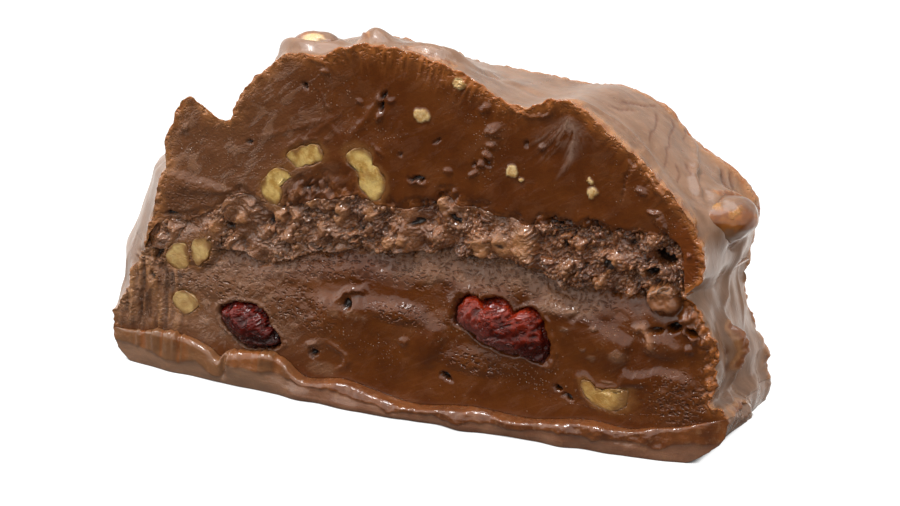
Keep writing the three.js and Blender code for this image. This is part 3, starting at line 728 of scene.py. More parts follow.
class Effect(Shading):
    """A shader group with named numbers going in and coming out."""

    def __init__(self, name, inputs, outputs):
        self.group = bpy.data.node_groups.new(name, "ShaderNodeTree")
        for socket, value in inputs.items():
            made = self.group.interface.new_socket(socket, in_out="INPUT",
                                                   socket_type="NodeSocketFloat")
            made.default_value = value
        for socket in outputs:
            self.group.interface.new_socket(socket, in_out="OUTPUT", socket_type="NodeSocketFloat")
        super().__init__(self.group)
        self.given = self.tree.nodes.new("NodeGroupInput").outputs
        self.result = self.tree.nodes.new("NodeGroupOutput").inputs

    def cells_of(self, size):
        """Cells to the metre, for an input that gives a cell's size in mm."""
        return self.math("DIVIDE", 1 / MM, self.given[size])

    def made(self, **results):
        for name, value in results.items():
            self.link(value, self.result[name])
        return self.group


class Finish(Shading):
    """A piece's material, its colours laid over one another. What is the same all over is set on
    the shader's own sockets; `glow` and `depth` are how far light goes in, for red, green, blue."""

    def __init__(self, name, roughness, coat, coat_roughness, specular, subsurface,
                 glow=(1.0, 0.35, 0.12), depth=1.0 * MM):
        self.material = bpy.data.materials.new(name)
        self.material.use_nodes = True
        super().__init__(self.material.node_tree)
        self.shader = self.tree.nodes["Principled BSDF"].inputs
        for socket, value in {
            "Roughness": roughness, "Coat Weight": coat, "Coat Roughness": coat_roughness,
            "Specular IOR Level": specular, "Subsurface Weight": subsurface,
            "Subsurface Radius": glow, "Subsurface Scale": depth,
        }.items():
            self.shader[socket].default_value = value
        self.colour = None

    def lay(self, share, over):
        """Lays a colour over the others by a share, a mask's name or several in turn."""
        self.colour = self.mix(share, self.colour, over)

    def lay_masks(self, colours, *names):
        """Lays colours over the others, each where the mask of its own name is."""
        for name in names:
            self.lay(name, colours[name])

    def relief(self, height, strength, distance):
        bump = self.add("ShaderNodeBump", Height=height, Strength=strength, Distance=distance)
        self.link(bump.outputs[0], self.shader["Normal"])

    def made(self):
        self.link(self.colour, self.shader["Base Color"])
        return self.material


def knife_drag_effect():
    """Fine lines that a knife leaves, along x, and the grain between them."""
    drag = Effect("knife drag", {"Tilt": 0.0, "Spacing": 0.5}, ("Height", "Streaks"))
    tilt = drag.add("ShaderNodeCombineXYZ", Y=drag.given["Tilt"]).outputs[0]
    stretched = drag.vector("MULTIPLY", drag.turned(tilt), (0.06, 0.06, 1.0))
    scaled = drag.add("ShaderNodeVectorMath", {"operation": "SCALE"}, i0=stretched,
                      Scale=drag.cells_of("Spacing")).outputs[0]
    lines = drag.noise(1.0, 3.0, scaled, Roughness=0.6)
    return drag.made(Height=drag.total(lines, drag.times(drag.noise(3200.0, 2.0), 0.25)),
                     Streaks=drag.ramp(lines, 0.52, 0.75))


def pebble_effect():
    """Small dimples, as where crumbs were torn off a soft face."""
    pebbles = Effect("pebbles", {"Size": 0.7}, ("Height", "Dimples"))
    warp = pebbles.noise(900.0, 1.0, part="Color")
    drawn = pebbles.vector("MULTIPLY", pebbles.place, (0.62, 1.0, 1.0))
    shifted = pebbles.vector("MULTIPLY_ADD", warp, (1.2 * MM,) * 3, drawn)
    fine = pebbles.add("ShaderNodeTexVoronoi", {"feature": "SMOOTH_F1"}, Vector=shifted,
                       Scale=pebbles.cells_of("Size"), Smoothness=0.15).outputs["Distance"]
    dimple = pebbles.ramp(fine, 0.08, 0.5)
    broad = pebbles.times(pebbles.noise(1100.0, 1.0), 0.25)
    return pebbles.made(Height=pebbles.total(dimple, broad), Dimples=pebbles.rest_of(dimple))


def speck_effect():
    """Scattered tiny specks: bubbles, sugar and ground nut."""
    specks = Effect("specks", {"Spacing": 2.0, "Size": 0.1, "Share": 0.5}, ("Mask",))
    dots = specks.add("ShaderNodeTexVoronoi", Vector=specks.place,
                      Scale=specks.cells_of("Spacing")).outputs
    pick = specks.add("ShaderNodeSeparateColor", Color=dots["Color"]).outputs
    there = specks.math("LESS_THAN", pick[0], specks.given["Share"])
    reach = specks.times(specks.given["Size"], specks.total(pick[1], 0.5))
    close = specks.math("SUBTRACT", 1.0, specks.math("DIVIDE", dots["Distance"], reach), clamp=True)
    return specks.made(Mask=specks.times(specks.ramp(close, 0.0, 0.5), there))


def coat_mark_effect():
    """What shows in a smooth poured coat: runs, a faint orange peel and hairline scratches."""
    coat = Effect("coat marks", {}, ("Height", "Streaks"))
    swirl = coat.noise(70.0, 2.0, part="Color")
    bent = coat.vector("MULTIPLY_ADD", swirl, (10 * MM,) * 3, coat.place)
    drawn = coat.vector("MULTIPLY", bent, (1.0, 1.6, 0.28))
    hairlines = coat.ramp(coat.noise(1500.0, 2.0, drawn, Roughness=0.6), 0.55, 0.75)
    peel = coat.noise(420.0, 3.0)
    return coat.made(Height=coat.total(peel, coat.times(hairlines, 0.22)),
                     Streaks=coat.ramp(coat.noise(420.0, 3.0, drawn), 0.36, 0.68))


KNIFE_DRAG, PEBBLES, SPECKS = knife_drag_effect(), pebble_effect(), speck_effect()
COAT_MARKS = coat_mark_effect()

FOOT_COLOURS = {  # pairs go from the darker to the paler clouds
    "upper": ((94, 48, 17), (116, 64, 28)), "upper milky": (124, 84, 54),
    "lower": ((120, 78, 56), (134, 93, 70)), "lower milky": (132, 98, 76),
    "rim": (136, 80, 40), "mottle": (152, 108, 76),
}


def foot_finish():
    foot = Finish("foot chocolate", roughness=0.2, coat=0.65, coat_roughness=0.04, specular=0.45,
                  subsurface=0.1)
    clouds = foot.ramp(foot.noise(320.0, 4.0), 0.35, 0.65)
    upper, lower = (foot.mix("milky", foot.mix(clouds, *FOOT_COLOURS[part]),
                             FOOT_COLOURS[part + " milky"]) for part in ("upper", "lower"))
    foot.colour = foot.mix("lower", upper, lower)
    foot.lay_masks(FOOT_COLOURS, "rim")
    mottle = foot.noise(850.0, 4.0, Roughness=0.65)
    foot.lay(foot.times(foot.ramp(mottle, 0.52, 0.7), 0.4), FOOT_COLOURS["mottle"])
    drag = foot.effect(KNIFE_DRAG, Tilt=0.0, Spacing=0.9)
    foot.relief(foot.line(mottle, 1.6, drag["Height"]), 0.35, 0.25 * MM)
    return foot.made()


FOOT_TOP["curve"] = Line(FOOT_TOP["points"])
ROLL_START = -0.55  # the lip's round front starts this far below its middle, of its radius
ROLL_SQUARE = 4.5  # 2 is a round lip; more has a sharper upper edge
LIP_LEVELS = 33
roll_angle = np.linspace(math.asin(ROLL_START), math.pi / 2, LIP_LEVELS)
LIP_UPS = (np.sin(roll_angle) - ROLL_START) / (1 - ROLL_START)

# The line on the lip where the dragged-down fudge ends, x and z.
APRON = [(-54, 2.4), (-47, 2.8), (-42, 2.2), (-38.5, 2.0), (-34.7, 2.7), (-33.3, 1.6), (-29.9, 1.5),
         (-28.8, 3.2), (-24, 3), (-19.3, 3.6), (-15.5, 2.4), (-8, 2.1), (3, 1.1), (14, 1.5),
         (22, 1.2), (30, 2.2), (33, 1.3), (36, 2.3), (44, 2), (50, 3.4), (54, 4)]
NOTCH = [(-29.7, 1.2), (-29.6, 3.4), (-28.9, 5.6)]


LIP_WAVE = 0.25  # share by which the lip swells and thins along the cut
PLEAT_DEPTH = 0.4
BEAD = 0.22  # height of the bead along the lip's upper edge
NOTCH_WIDTH, NOTCH_DEPTH = 0.9, 0.7


def foot_relief(x, z, up, at_back):
    seed = BACK_SEED if at_back else FRONT_SEED
    level = ROLL_START + (1 - ROLL_START) * up
    roll = np.where(level < 0, np.sqrt(1 - np.minimum(level, 0) ** 2),
                    np.clip(1 - np.maximum(level, 0) ** ROLL_SQUARE, 0, 1) ** (1 / ROLL_SQUARE))
    along = 1 - np.minimum(1, np.abs(x) / HALF_WIDTH) ** 4
    out = LIP * roll * along * (1 + LIP_WAVE * noise(x / 4, z / 4, 0, seed))

    # the fudge dragged down over the lip, pleated where it was pulled hardest
    pleat, lines = pleats(x + 0.25 * noise(x / 3, z / 2, 0, 44))
    wavy = 0.5 * noise(x / 2.4, 0, 0, 45) + 0.2 * noise(x / 0.9, 0, 0, 46)
    apron = smooth(z - wavy - np.interp(x, *np.array(APRON).T), -0.12, 0.3)
    out = out + PLEAT_DEPTH * pleat * lines * apron * smooth(up, 0.3, 0.8) * roll
    out = out + 0.12 * pleat * lines * smooth(up, 0.7, 1)
    out = out + 0.2 * apron * roll
    out = out + 0.09 * noise(x / 2.2, z / 1.6, 0, seed + 4) * roll

    # the bead along the upper edge, wet ripples to its right and crags at the right end
    bead = smooth(up, 0.72, 0.9) * np.clip(noise(x / 1.1, 0, 0, 43) * 0.5 + 0.35, 0, 1)
    ripples = 0.16 * noise(x / 1.7, up * 2, 0, 47) + 0.1 * noise(x / 0.7, up * 3, 0, 48)
    wet = smooth(x, -12, -4) * along
    out = out + BEAD * bead * along + wet * smooth(up, 0.6, 0.85) * ripples
    ragged = smooth(x, 22, 34) * smooth(up, 0.3, 0.7) * along
    out = out + ragged * (0.34 * rough(x, z, 1.2, 57) + 0.3 * noise(x / 2.6, 0, 0, 58))
    if not at_back:
        out = out + marks(x, z, strokes=[(NOTCH, NOTCH_WIDTH, -NOTCH_DEPTH)])

    edge, _ = edge_place(x, z, at_back)
    worn = 0.4 * np.exp(-(edge / 0.5) ** 2) * smooth(z, 1.5, 4)
    rim = 0.5 * bead + 0.8 * pleat * smooth(lines, 0.1, -0.5) * apron + worn
    return on_cut(x, z, settle(x, z, out, at_back), at_back), {
        "lower": 1 - apron, "rim": np.clip(rim, 0, 1), "milky": smooth(x, -10, -26)}


def foot_ends(rows, outward):
    """The foot's ends: the outside's coat, paler and less worn."""
    rows, masks = coat_finish(rows, outward)
    masks.update(lower=1.0, milky=1.0, rim=0.3 * masks["rim"], crust=0.5 * masks["crust"])
    return rows, masks


def foot_bottom(u, depth):
    u = np.asarray(u)[..., None]
    return outline(0, depth) * (1 - u) + outline(LAST_ROW, depth) * u


FOOT_CELLS = 420
layer("foot", "base_coat", "foot_chocolate", foot_finish(), FOOT_CELLS, LIP_LEVELS - 1,
      (foot_bottom,
       lambda u, d: parting(FOOT_TOP, u, d),
       outline_part(0, FOOT_TOP["rows"][0]),
       outline_part(LAST_ROW, FOOT_TOP["rows"][1])),
      foot_relief, ("left", "right"), foot_ends, LEVELS, ups=LIP_UPS)

# ================ LOWER FUDGE ================
# Soft milk-chocolate fudge, poured thick over the base and cut with a dragging knife: it bulges at
# the foot, leans back under the crumbs, and is pitted and smeared where bits were pulled out.
SHELF = 1.6  # how far the fudge leans back under the crumbs, and the share of it along x
SHELF_SHARE = [(-40, 1.0), (-26, 0.7), (-8, 0.8), (4, 1.15), (24, 1.4), (34, 1.0)]
CRUMB_BOTTOM = {
    "rows": (5.0, 33.0),
    "points": [(-45.2, 19.8), (-38.0, 21.0), (-31.0, 21.6), (-23.5, 20.9), (-12.0, 23.8), (0.3, 26.2),
               (12, 27), (21.7, 26.5), (26.5, 24.5), (36, 24.7), (42, 25.9), (46.2, 25.8)],
}
CRUMB_BOTTOM["curve"] = Line(CRUMB_BOTTOM["points"])
CRUMB_FRAY = 0.55  # how far the crumbs' edges wander off their line

# Fruit and nuts: middle across the cut, how deep it lies, half its depth, and its outline there.
CRANBERRIES = {
    "cranberry_left": dict(middle=(-25.4, 9.4), deep=1.9, half=3.4, seed=11, outline=[
        (-31, 11.6), (-29.6, 12.6), (-26.8, 13.3), (-24.6, 13.2), (-22.7, 12.2), (-22, 10.4),
        (-21, 9.7), (-19.9, 7.9), (-21.5, 6.8), (-24, 6.4), (-26.8, 6.7), (-28.7, 8.1),
        (-30.4, 9.4)]),
    "cranberry_right": dict(middle=(17.4, 16.2), deep=2.0, half=3.9, seed=12, outline=[
        (9.8, 18.4), (11.3, 20.6), (12.9, 20.8), (14, 20), (16.7, 20.9), (18.1, 20.5),
        (19.2, 19), (21, 20.1), (22.5, 20.1), (23.6, 18.9), (24.4, 16.2), (25.2, 14.2),
        (24.5, 11.8), (22.5, 12.1), (20.5, 12.8), (18.2, 12.5), (16.2, 13.3), (14.6, 13.6),
        (12.4, 15), (9.8, 16.1)]),
}
WALNUTS = {
    "walnut_1": dict(middle=(-20.9, 33.9), deep=1.2, half=2.4, seed=21, outline=[
        (-22.2, 35.1), (-20.9, 36.6), (-19.8, 37.1), (-18.2, 36.6), (-17.7, 35.6), (-19, 34.7),
        (-19.9, 33.7), (-19.7, 32.1), (-20.4, 30.2), (-22.4, 30.6), (-23.6, 32.9)]),
    "walnut_2": dict(middle=(-15.4, 39.3), deep=1.1, half=2.2, seed=22, outline=[
        (-19.2, 38.8), (-17.4, 40.2), (-15.3, 41), (-13.2, 41.5), (-12.1, 40.6), (-12.3, 38.9),
        (-13.6, 38.2), (-15.4, 37.7), (-17.2, 36.9), (-18.4, 37.6)]),
    "walnut_3": dict(middle=(-5.0, 37.6), deep=1.2, half=2.4, seed=23, outline=[
        (-8.9, 40.4), (-7.7, 41.8), (-5.3, 42), (-4, 40.9), (-4.1, 39.4), (-2.6, 38.6),
        (-1.8, 36.8), (-2.1, 34.8), (-4.3, 33.1), (-5.4, 34.3), (-6.6, 36.8), (-7.1, 38.3),
        (-8.5, 39.2)]),
    "walnut_4": dict(middle=(-38.6, 19.3), deep=1.0, half=1.9, seed=24, outline=[
        (-40.7, 20), (-38.9, 21.8), (-36.9, 22), (-36.6, 20.4), (-36.5, 17.9), (-39, 17.1),
        (-40.6, 17.7)]),
    "walnut_5": dict(middle=(-34.4, 20.6), deep=1.0, half=1.9, seed=25, outline=[
        (-36, 22.3), (-32.3, 23), (-32.6, 21), (-34, 19), (-34.7, 17.9), (-35.6, 19),
        (-36.2, 20.7)]),
    "walnut_6": dict(middle=(-37.4, 12.0), deep=1.0, half=1.9, seed=26, outline=[
        (-40, 12.1), (-38.5, 13.7), (-36.3, 13.8), (-34.6, 11.7), (-35.5, 10.6), (-38.1, 9.9),
        (-39.6, 10.9)]),
    "walnut_7": dict(middle=(32.9, 8.4), deep=1.1, half=2.3, seed=27, outline=[
        (30.3, 10.5), (31.6, 10.6), (32.7, 9.4), (33.9, 9.4), (35.9, 9.9), (38.1, 10.3),
        (38.2, 7.3), (36, 6.1), (34, 6.4), (31.7, 7.5), (30.5, 9.1)]),
}


def reach_of(lump, angle):
    """How far a lump's outline is from its middle, in each direction."""
    ring = np.array(lump["outline"]) - lump["middle"]
    turn = np.unwrap(np.arctan2(ring[:, 1], ring[:, 0]))
    order = np.argsort(np.mod(turn, 2 * np.pi))
    return np.interp(np.mod(angle, 2 * np.pi), np.mod(turn, 2 * np.pi)[order],
                     np.hypot(*ring.T)[order], period=2 * np.pi)


def within(lump, x, z):
    """Where points lie against a lump's outline: 0 in its middle, 1 on the outline."""
    a, b = x - lump["middle"][0], z - lump["middle"][1]
    return np.hypot(a, b) / reach_of(lump, np.arctan2(b, a))


NUT_DENT, FRUIT_DENT = 1.2, 2.4  # how deep the pockets are that nuts and fruit lie in
FRUIT_GAP = 0.15  # how far the pockets reach above the fruit
FRUIT_LIP = 0.3  # and the swelling round them
NUT_LEVEL = 0.08  # how far the fudge stands out round a nut, where the knife levelled it


def bed(x, z, out):
    """A cut's relief levelled round the pieces in it and dented where they are, and how close each
    point is to fruit and nuts."""
    fruit, nut = np.zeros(x.shape), np.zeros(x.shape)
    wander = 0.07 * noise(x / 0.7, z / 0.7, 0, 51) + 0.04 * noise(x / 0.3, z / 0.3, 0, 52)
    for lump in CRANBERRIES.values():
        out = out * smooth(within(lump, x, z), 1.0, 1.5)
        there = within(lump, x, z - FRUIT_GAP) + 0.6 * wander
        out = out - FRUIT_DENT * (1 - smooth(there, 0.88, 1.04))
        # painted shade: the fudge in the gap round a fruit is laid dark through this mask
        fruit = np.maximum(fruit, 1 - smooth(there, 0.98, 1.06))
        out = out + FRUIT_LIP * np.exp(-((there - 1.13) / 0.07) ** 2)
    for lump in WALNUTS.values():
        there = within(lump, x, z) + wander
        level = 1 - smooth(there, 1.0, 1.7)
        out = out * (1 - level) + NUT_LEVEL * level
        out = out - NUT_DENT * (1 - smooth(there, 0.78, 0.9))
        nut = np.maximum(nut, 0.85 * (1 - smooth(there, 0.92, 1.4)) ** 1.5)
    return out, fruit, nut


# ---- the crumbs' own relief, which the fudge takes on where it touches them ----
SMEAR_SIZE = 4.5  # size of the patches where the crumbs are smeared over
BIG_CRUMB, SMALL_CRUMB = 2.1, 0.95


def crumb_face(x, z, at_back):
    """Height of torn, wet crumbs that have run together, and the painted shade laid in their gaps and
    lowest hollows.
    """
    seed = BACK_SEED if at_back else FRONT_SEED
    wx = x + 0.8 * noise(x / 1.9, z / 1.9, 0, 81) + 0.42 * noise(x / 0.7, z / 0.7, 0, 83)
    wz = z + 0.8 * noise(x / 1.9, z / 1.9, 5, 81) + 0.42 * noise(x / 0.7, z / 0.7, 5, 83)
    lean = wx - 0.45 * wz
    big, after_big, step = cells(lean, 0.68 * wz, BIG_CRUMB, 82 + seed)
    small, after_small, lift = cells(lean, 0.8 * wz, SMALL_CRUMB, 84 + seed)
    loose = smooth(rough(x, z, SMEAR_SIZE, 87), -0.7, 0.5)
    loose = np.clip(loose + 0.5 * smooth(x, 12, 26), 0.2, 1)
    whole = smooth(step, 0.5, 0.66) * (1 - 0.6 * smooth(x, 20, 28))  # lumps that held together
    parted = 0.2 + 0.8 * smooth(noise(x / 1.4, z / 1.4, 0, 85), -0.2, 0.4)
    big_dome = smooth(after_big - big, 0.0, 0.7)
    small_dome = smooth(after_small - small, 0.0, 0.75)
    fold = 1 - 2 * np.abs(noise(wx / 0.9, wz / 0.7, 0, 86))
    height = 1.1 * (step - 0.5) + 0.5 * (big_dome - 0.5) * whole
    height += (0.8 * (lift - 0.5) + 0.55 * (small_dome - 0.5)) * (1 - 0.8 * whole) + 0.22 * fold
    height = height * loose
    cracks = np.maximum(smooth(after_big - big, 0.16, 0.0),
                        (1 - whole) * smooth(after_small - small, 0.18, 0.0)) * parted
    # painted shade: the cracks between crumbs and their lowest hollows are laid dark
    gloom = np.clip(loose * (0.5 * cracks + 0.85 * smooth(height, -0.55, -1.15)), 0, 1)
    return height - 0.4 * cracks * loose, gloom


# What crosses from the crumbs into the fudge at the right end: a ringed blob and hollows laid black with
# painted shade.
BLOB = dict(at=(42.5, 24.8), radius=2.7, height=0.8, rings=4.4)
RIGHT_HOLLOWS = [(42.6, 31.3, 3.4, 1.9, -8, -2.6), (40.6, 28.8, 2.6, 1.2, 25, -2.0),
                 (41.7, 19.9, 2.4, 0.8, 12, -1.5), (44.4, 20.7, 2.2, 1.2, 22, -2.2),
                 (47.2, 20.5, 2.2, 0.9, -20, -1.6)]


def right_end(x, z, height):
    """A relief with the blob and the hollows in it, the painted shade in the hollows and in the groove
    round the blob, and the blob's mask.
    """
    hollows = marks(x, z, RIGHT_HOLLOWS)
    height = height + hollows
    gloom = smooth(hollows, -0.7, -1.7)
    radius = BLOB["radius"]
    away = np.hypot(x - BLOB["at"][0], z - BLOB["at"][1])
    away = away + 0.4 * noise(x / 1.7, z / 1.7, 0, 89) + 0.16 * noise(x / 0.7, z / 0.7, 0, 89)
    inside = 1 - smooth(away, radius - 0.9, radius)
    dome = BLOB["height"] * np.sqrt(np.clip(1 - (away / radius) ** 2, 0, 1))
    dome = dome + 0.13 * np.cos(away * BLOB["rings"]) + 0.2 * rough(x, z, 1.2, 90)
    ring = np.exp(-((away - radius) / 0.3) ** 2)
    height = height * (1 - inside) + dome * inside - 0.2 * ring
    return height, np.clip(gloom + 0.3 * ring, 0, 1), inside


def warped(x, z):
    """Places pushed about a little, so that marks drawn there aren't neat."""
    return (x + 0.24 * noise(x / 0.8, z / 0.8, 0, 62) + 0.13 * noise(x / 0.33, z / 0.33, 0, 63),
            z + 0.24 * noise(x / 0.8, z / 0.8, 4, 62) + 0.13 * noise(x / 0.33, z / 0.33, 4, 63))


CRUMB_REACH = 1.9  # how far into the fudge the crumbs' relief carries on
BAND_HEIGHT = 20.0  # about how high either fudge layer is
PIT_DEPTH = 0.45  # marks deeper than this get painted shade inside
KNOB = [(38.4, 19.6), (39.8, 19.9), (40.9, 18.5), (41.3, 16.6)]  # a curl of paler fudge

LOWER_SPOTS = [  # x, z, length, width, tilt, height
    (8.6, 7.4, 2.3, 0.8, -25, -1.3), (26.7, 8.5, 1.1, 0.8, 0, -1.2), (28.3, 7.4, 1.6, 0.8, -25, -0.9),
    (-8.3, 16.4, 1.7, 1.5, 10, -1.2), (-14.1, 7.4, 1.5, 1.3, 30, -1.1), (-14.3, 8.9, 2.2, 1.1, 20, 0.5),
    (-42.6, 19.1, 2.4, 1.2, 60, -0.8), (-43.4, 15.6, 1.6, 0.9, 80, -0.8), (1.6, 12, 1.8, 1.2, 30, 0.35),
    (32.3, 18.9, 1.3, 0.9, 40, 0.2), (36, 15.2, 1.9, 1.2, -10, 0.15), (42.9, 17.5, 5.6, 3.2, -3, 0.6),
    (29, 20, 1.5, 0.9, 30, -0.4), (45.6, 22, 1.3, 1.3, 0, 0.7), (46.8, 22.6, 1.2, 1.4, 0, 0.7),
    (46.4, 20.7, 1.5, 1.2, 40, 0.8), (47.5, 19.5, 1.3, 1.6, 0, 0.7), (48, 21.6, 1, 1.2, 0, 0.6),
    (48.5, 20.5, 1.1, 1, 0, 0.6), (47.1, 17.8, 1.3, 1.2, 0, 0.6), (49.2, 19.3, 1.2, 1.4, 0, 0.6),
]
LOWER_STROKES = [  # points, width, height
    ([(-10, 16.8), (-8.9, 18.1), (-7.6, 18.7), (-5.4, 19.1)], 0.8, 0.75),
    ([(-11.6, 9.6), (-10.4, 9.3), (-9.3, 8.7), (-8.5, 7.8), (-8.3, 6.9), (-8.7, 6), (-9.8, 5.4)], 1, 0.4),
    (KNOB, 1.2, 0.8),
    ([(-45.4, 14.4), (-45.8, 7)], 0.7, -0.5), ([(-43.9, 14.6), (-44.2, 6.6)], 0.6, 0.4),
    ([(-42.4, 14), (-42, 6.6)], 0.6, -0.45), ([(-41, 12), (-40.6, 6.8)], 0.5, 0.25),
    ([(-46.8, 12), (-47.6, 6.6)], 0.6, 0.4), ([(-43.6, 21.5), (-43.2, 16)], 0.8, 0.5),
    ([(-41.9, 21), (-41.6, 15.4)], 0.7, -0.5),
]
LOWER_LEDGES = [  # points, rise, ramp
    ([(-15, 17.2), (-8.7, 16.6), (-4.5, 17.4), (1, 17.6), (5.7, 16.2), (9.6, 14.6)], 0.8, 2.4),
    ([(24, 22.2), (31, 20.2), (35.5, 18.4), (38.6, 17.4)], 0.6, 1.5),
    ([(36.5, 13.2), (38.4, 12.6), (40.4, 13), (42.6, 13.9), (48, 13.2)], 0.5, 1.3),
]
LOWER_PEBBLES = [  # x, z, reach across, reach up: where the face is dimpled
    (-24, 18.5, 9, 3), (-10, 22, 9, 2.2), (3, 23.2, 12, 2.6), (16, 23.5, 10, 2.8),
    (29, 22, 8, 2.2), (-17, 14, 6, 3), (2, 16.4, 6, 1.5), (14, 10.6, 6, 2),
    (46, 9.5, 4, 4), (-30, 15.5, 5, 2.5), (-38, 15.6, 6, 1.6),
]
LOWER_BUBBLES = [  # x, z, reach across, reach up: where fine bubbles were cut open
    (44, 11, 6.5, 5), (39, 19, 6, 3), (8, 15.5, 5, 4), (-10, 13, 5, 3.5),
    (26, 9, 6, 2.4), (-22, 17, 6, 2.5), (21, 9.4, 8, 2), (-2, 10, 4, 3),
]
LOWER_FILMS = [  # x, z, reach across, reach up: where it was smeared thin and pale
    (-22.8, 5.8, 3.2, 1.1), (-12.6, 5, 2.6, 1.2), (36.1, 15.1, 1.5, 1), (-3, 25.2, 4.5, 1.2),
    (-8.4, 14.9, 3, 0.8), (26.5, 21, 3.4, 1), (27.9, 18.1, 1.1, 0.35), (32, 18.8, 0.8, 0.4),
    (31.8, 14.1, 0.7, 0.4), (34.6, 10.5, 0.9, 0.3), (30.7, 15.3, 0.5, 0.3), (29, 17.1, 0.6, 0.3),
    (33, 16.2, 0.5, 0.3),
]


def spread(x, z, places):
    """How close points are to places (x, z, reach across, reach up), 0 to 1."""
    near = np.zeros(np.shape(x))
    for px, pz, across, high in places:
        near = np.maximum(near, np.exp(-(((x - px) / across) ** 2 + ((z - pz) / high) ** 2) ** 2))
    return near


def pits_and_rises(x, z, spots, strokes, ledges):
    """The marks that go in, which get painted shade inside, and those that stand out."""
    return (marks(x, z, [spot for spot in spots if spot[5] < 0]),
            marks(x, z, [spot for spot in spots if spot[5] > 0], strokes, ledges))


def bubbly(x, z, at, places):
    """Where bubbles show: near some places, but in patches."""
    return spread(*at, places) * smooth(rough(x, z, 2.0, 75), -0.9, 0.3)


def lower_relief(x, z, up, at_back):
    seed = BACK_SEED if at_back else FRONT_SEED
    mx, mz = (-x * 0.86 + 2.0, z * 0.86 + 1.0) if at_back else (x, z)  # the back has other marks
    wx, wz = warped(mx, mz)
    below = (1 - up) * BAND_HEIGHT  # distance under the crumbs, in mm

    # the lean under the crumbs, slow waves, and the larger marks
    shelf = 0.3 * (1 - smooth(below, 2.0, 9.0)) + 0.7 * (
        1 - smooth(below + 0.8 * noise(x / 5, 0, 0, 49), 0.2, 5.2))
    out = -SHELF * np.interp(mx, *np.array(SHELF_SHARE).T) * shelf
    out = out + 0.24 * noise(x / 5, z / 4, 0, seed)
    pits, rises = pits_and_rises(wx, wz, LOWER_SPOTS, LOWER_STROKES, LOWER_LEDGES)
    out = out + pits + rises

    # dimples, in patches and in a band under the crumbs
    band = (1 - smooth(below, 3.6, 5.4)) * (1 - smooth(x, 26, 34))
    pebble = np.maximum(spread(mx, mz, LOWER_PEBBLES), band)
    pebble = pebble * smooth(rough(x, z, 3.0, 71), -1.1, 0.0)
    out = out + 0.03 * rough(x, z, 1.6, 72, 2) + 0.03 * pebble * rough(x, z, 0.62, 73, 2)

    # the crumbly crust along the ends, columns at the left one, and teeth where the knife left
    edge, place = edge_place(x, z, at_back)
    crusty = np.exp(-(edge / 2.1) ** 2) * (
        1 - smooth(x, 47, 49.5) * (1 - smooth(z, 7.5, 9.5)))
    first, second, lift = cells(wx, wz, 1.55, 74)
    lumps = smooth(second - first, 0.0, 0.8) - 0.5
    left = smooth(-x, 35, 40) * smooth(z, 5, 8) * (1 - smooth(z, 16, 21))
    columns = noise(mx / 0.62 + 0.5 * noise(0, mz / 3, 0, 59), mz / 5, 0, 60)
    out = out + left * (0.45 * columns + 0.1)
    calm = 1 - 0.55 * smooth(-x, 28, 40)
    teeth = comb(edge, place, 64)
    out = out + crusty * calm * (0.6 * lumps + 0.5 * (lift - 0.3) + 0.1 * teeth)

    # the crumbs' relief where the fudge touches them, then the right end and the pieces in it
    near = 1 - smooth(below + 0.8 * rough(x, z, 1.8, 70, 2), 0.2, CRUMB_REACH)
    crumbs, gloom = crumb_face(x, z, at_back)
    out = out + near * 0.8 * crumbs
    out, hollow, blob = right_end(mx, mz, out)
    fruit, nut = 0, 0
    if not at_back:
        out, fruit, nut = bed(x, z, out)

    # partly painted sheen: the band under the crumbs is laid milky, partly as smeared milk chocolate and
    # partly as the sheen where the face leans back under the light
    smear_and_sheen = (1 - smooth(below + 0.6 * rough(x, z, 2.4, 56, 2), 3.6, 5.2)) * smooth(x, -6, 6) * (
        1 - smooth(x, 28, 35))
    films = spread(wx, wz, LOWER_FILMS) * smooth(rough(x, z, 1.5, 55), -1.0, 0.0)
    rim = (0.6 * np.exp(-(edge / 1.1) ** 2) + 0.6 * crusty * smooth(lumps, 0.0, 0.4)
           + 0.45 * near * smooth(lift, 0.4, 0.9) + 0.5 * left * smooth(columns, -0.1, 0.5)
           + 0.3 * crusty * smooth(x, 44, 47))
    knob = marks(wx, wz, strokes=[(KNOB, 1.1, 1.0)])
    # painted shade: the crannies between the crust's lumps, the grooves between the left end's columns,
    # the pits, the hollows and the crumbs' gaps are laid dark
    crannies = (0.1 + 0.5 * smooth(x, 30, 44)) * crusty * smooth(second - first, 0.2, 0.0)
    crannies = crannies + 0.4 * left * smooth(columns, -0.25, -0.6)
    dark = smooth(pits, -PIT_DEPTH, -2 * PIT_DEPTH) + hollow + near * gloom + crannies
    return on_cut(x, z, settle(x, z, out, at_back), at_back), {
        "rim": np.clip(rim, 0, 1), "pebble": np.maximum(pebble, 0.3 * crusty) * (1 - blob),
        "fruit": fruit, "nut": nut, "bubbly": bubbly(x, z, (mx, mz), LOWER_BUBBLES),
        "tone": np.clip(0.75 * blob + 0.9 * knob, 0, 1), "gloom": np.clip(dark, 0, 1),
        "milky": np.max([smooth(x, -6, -36) * smooth(z, 4, 8), 0.85 * smear_and_sheen, films], axis=0)}


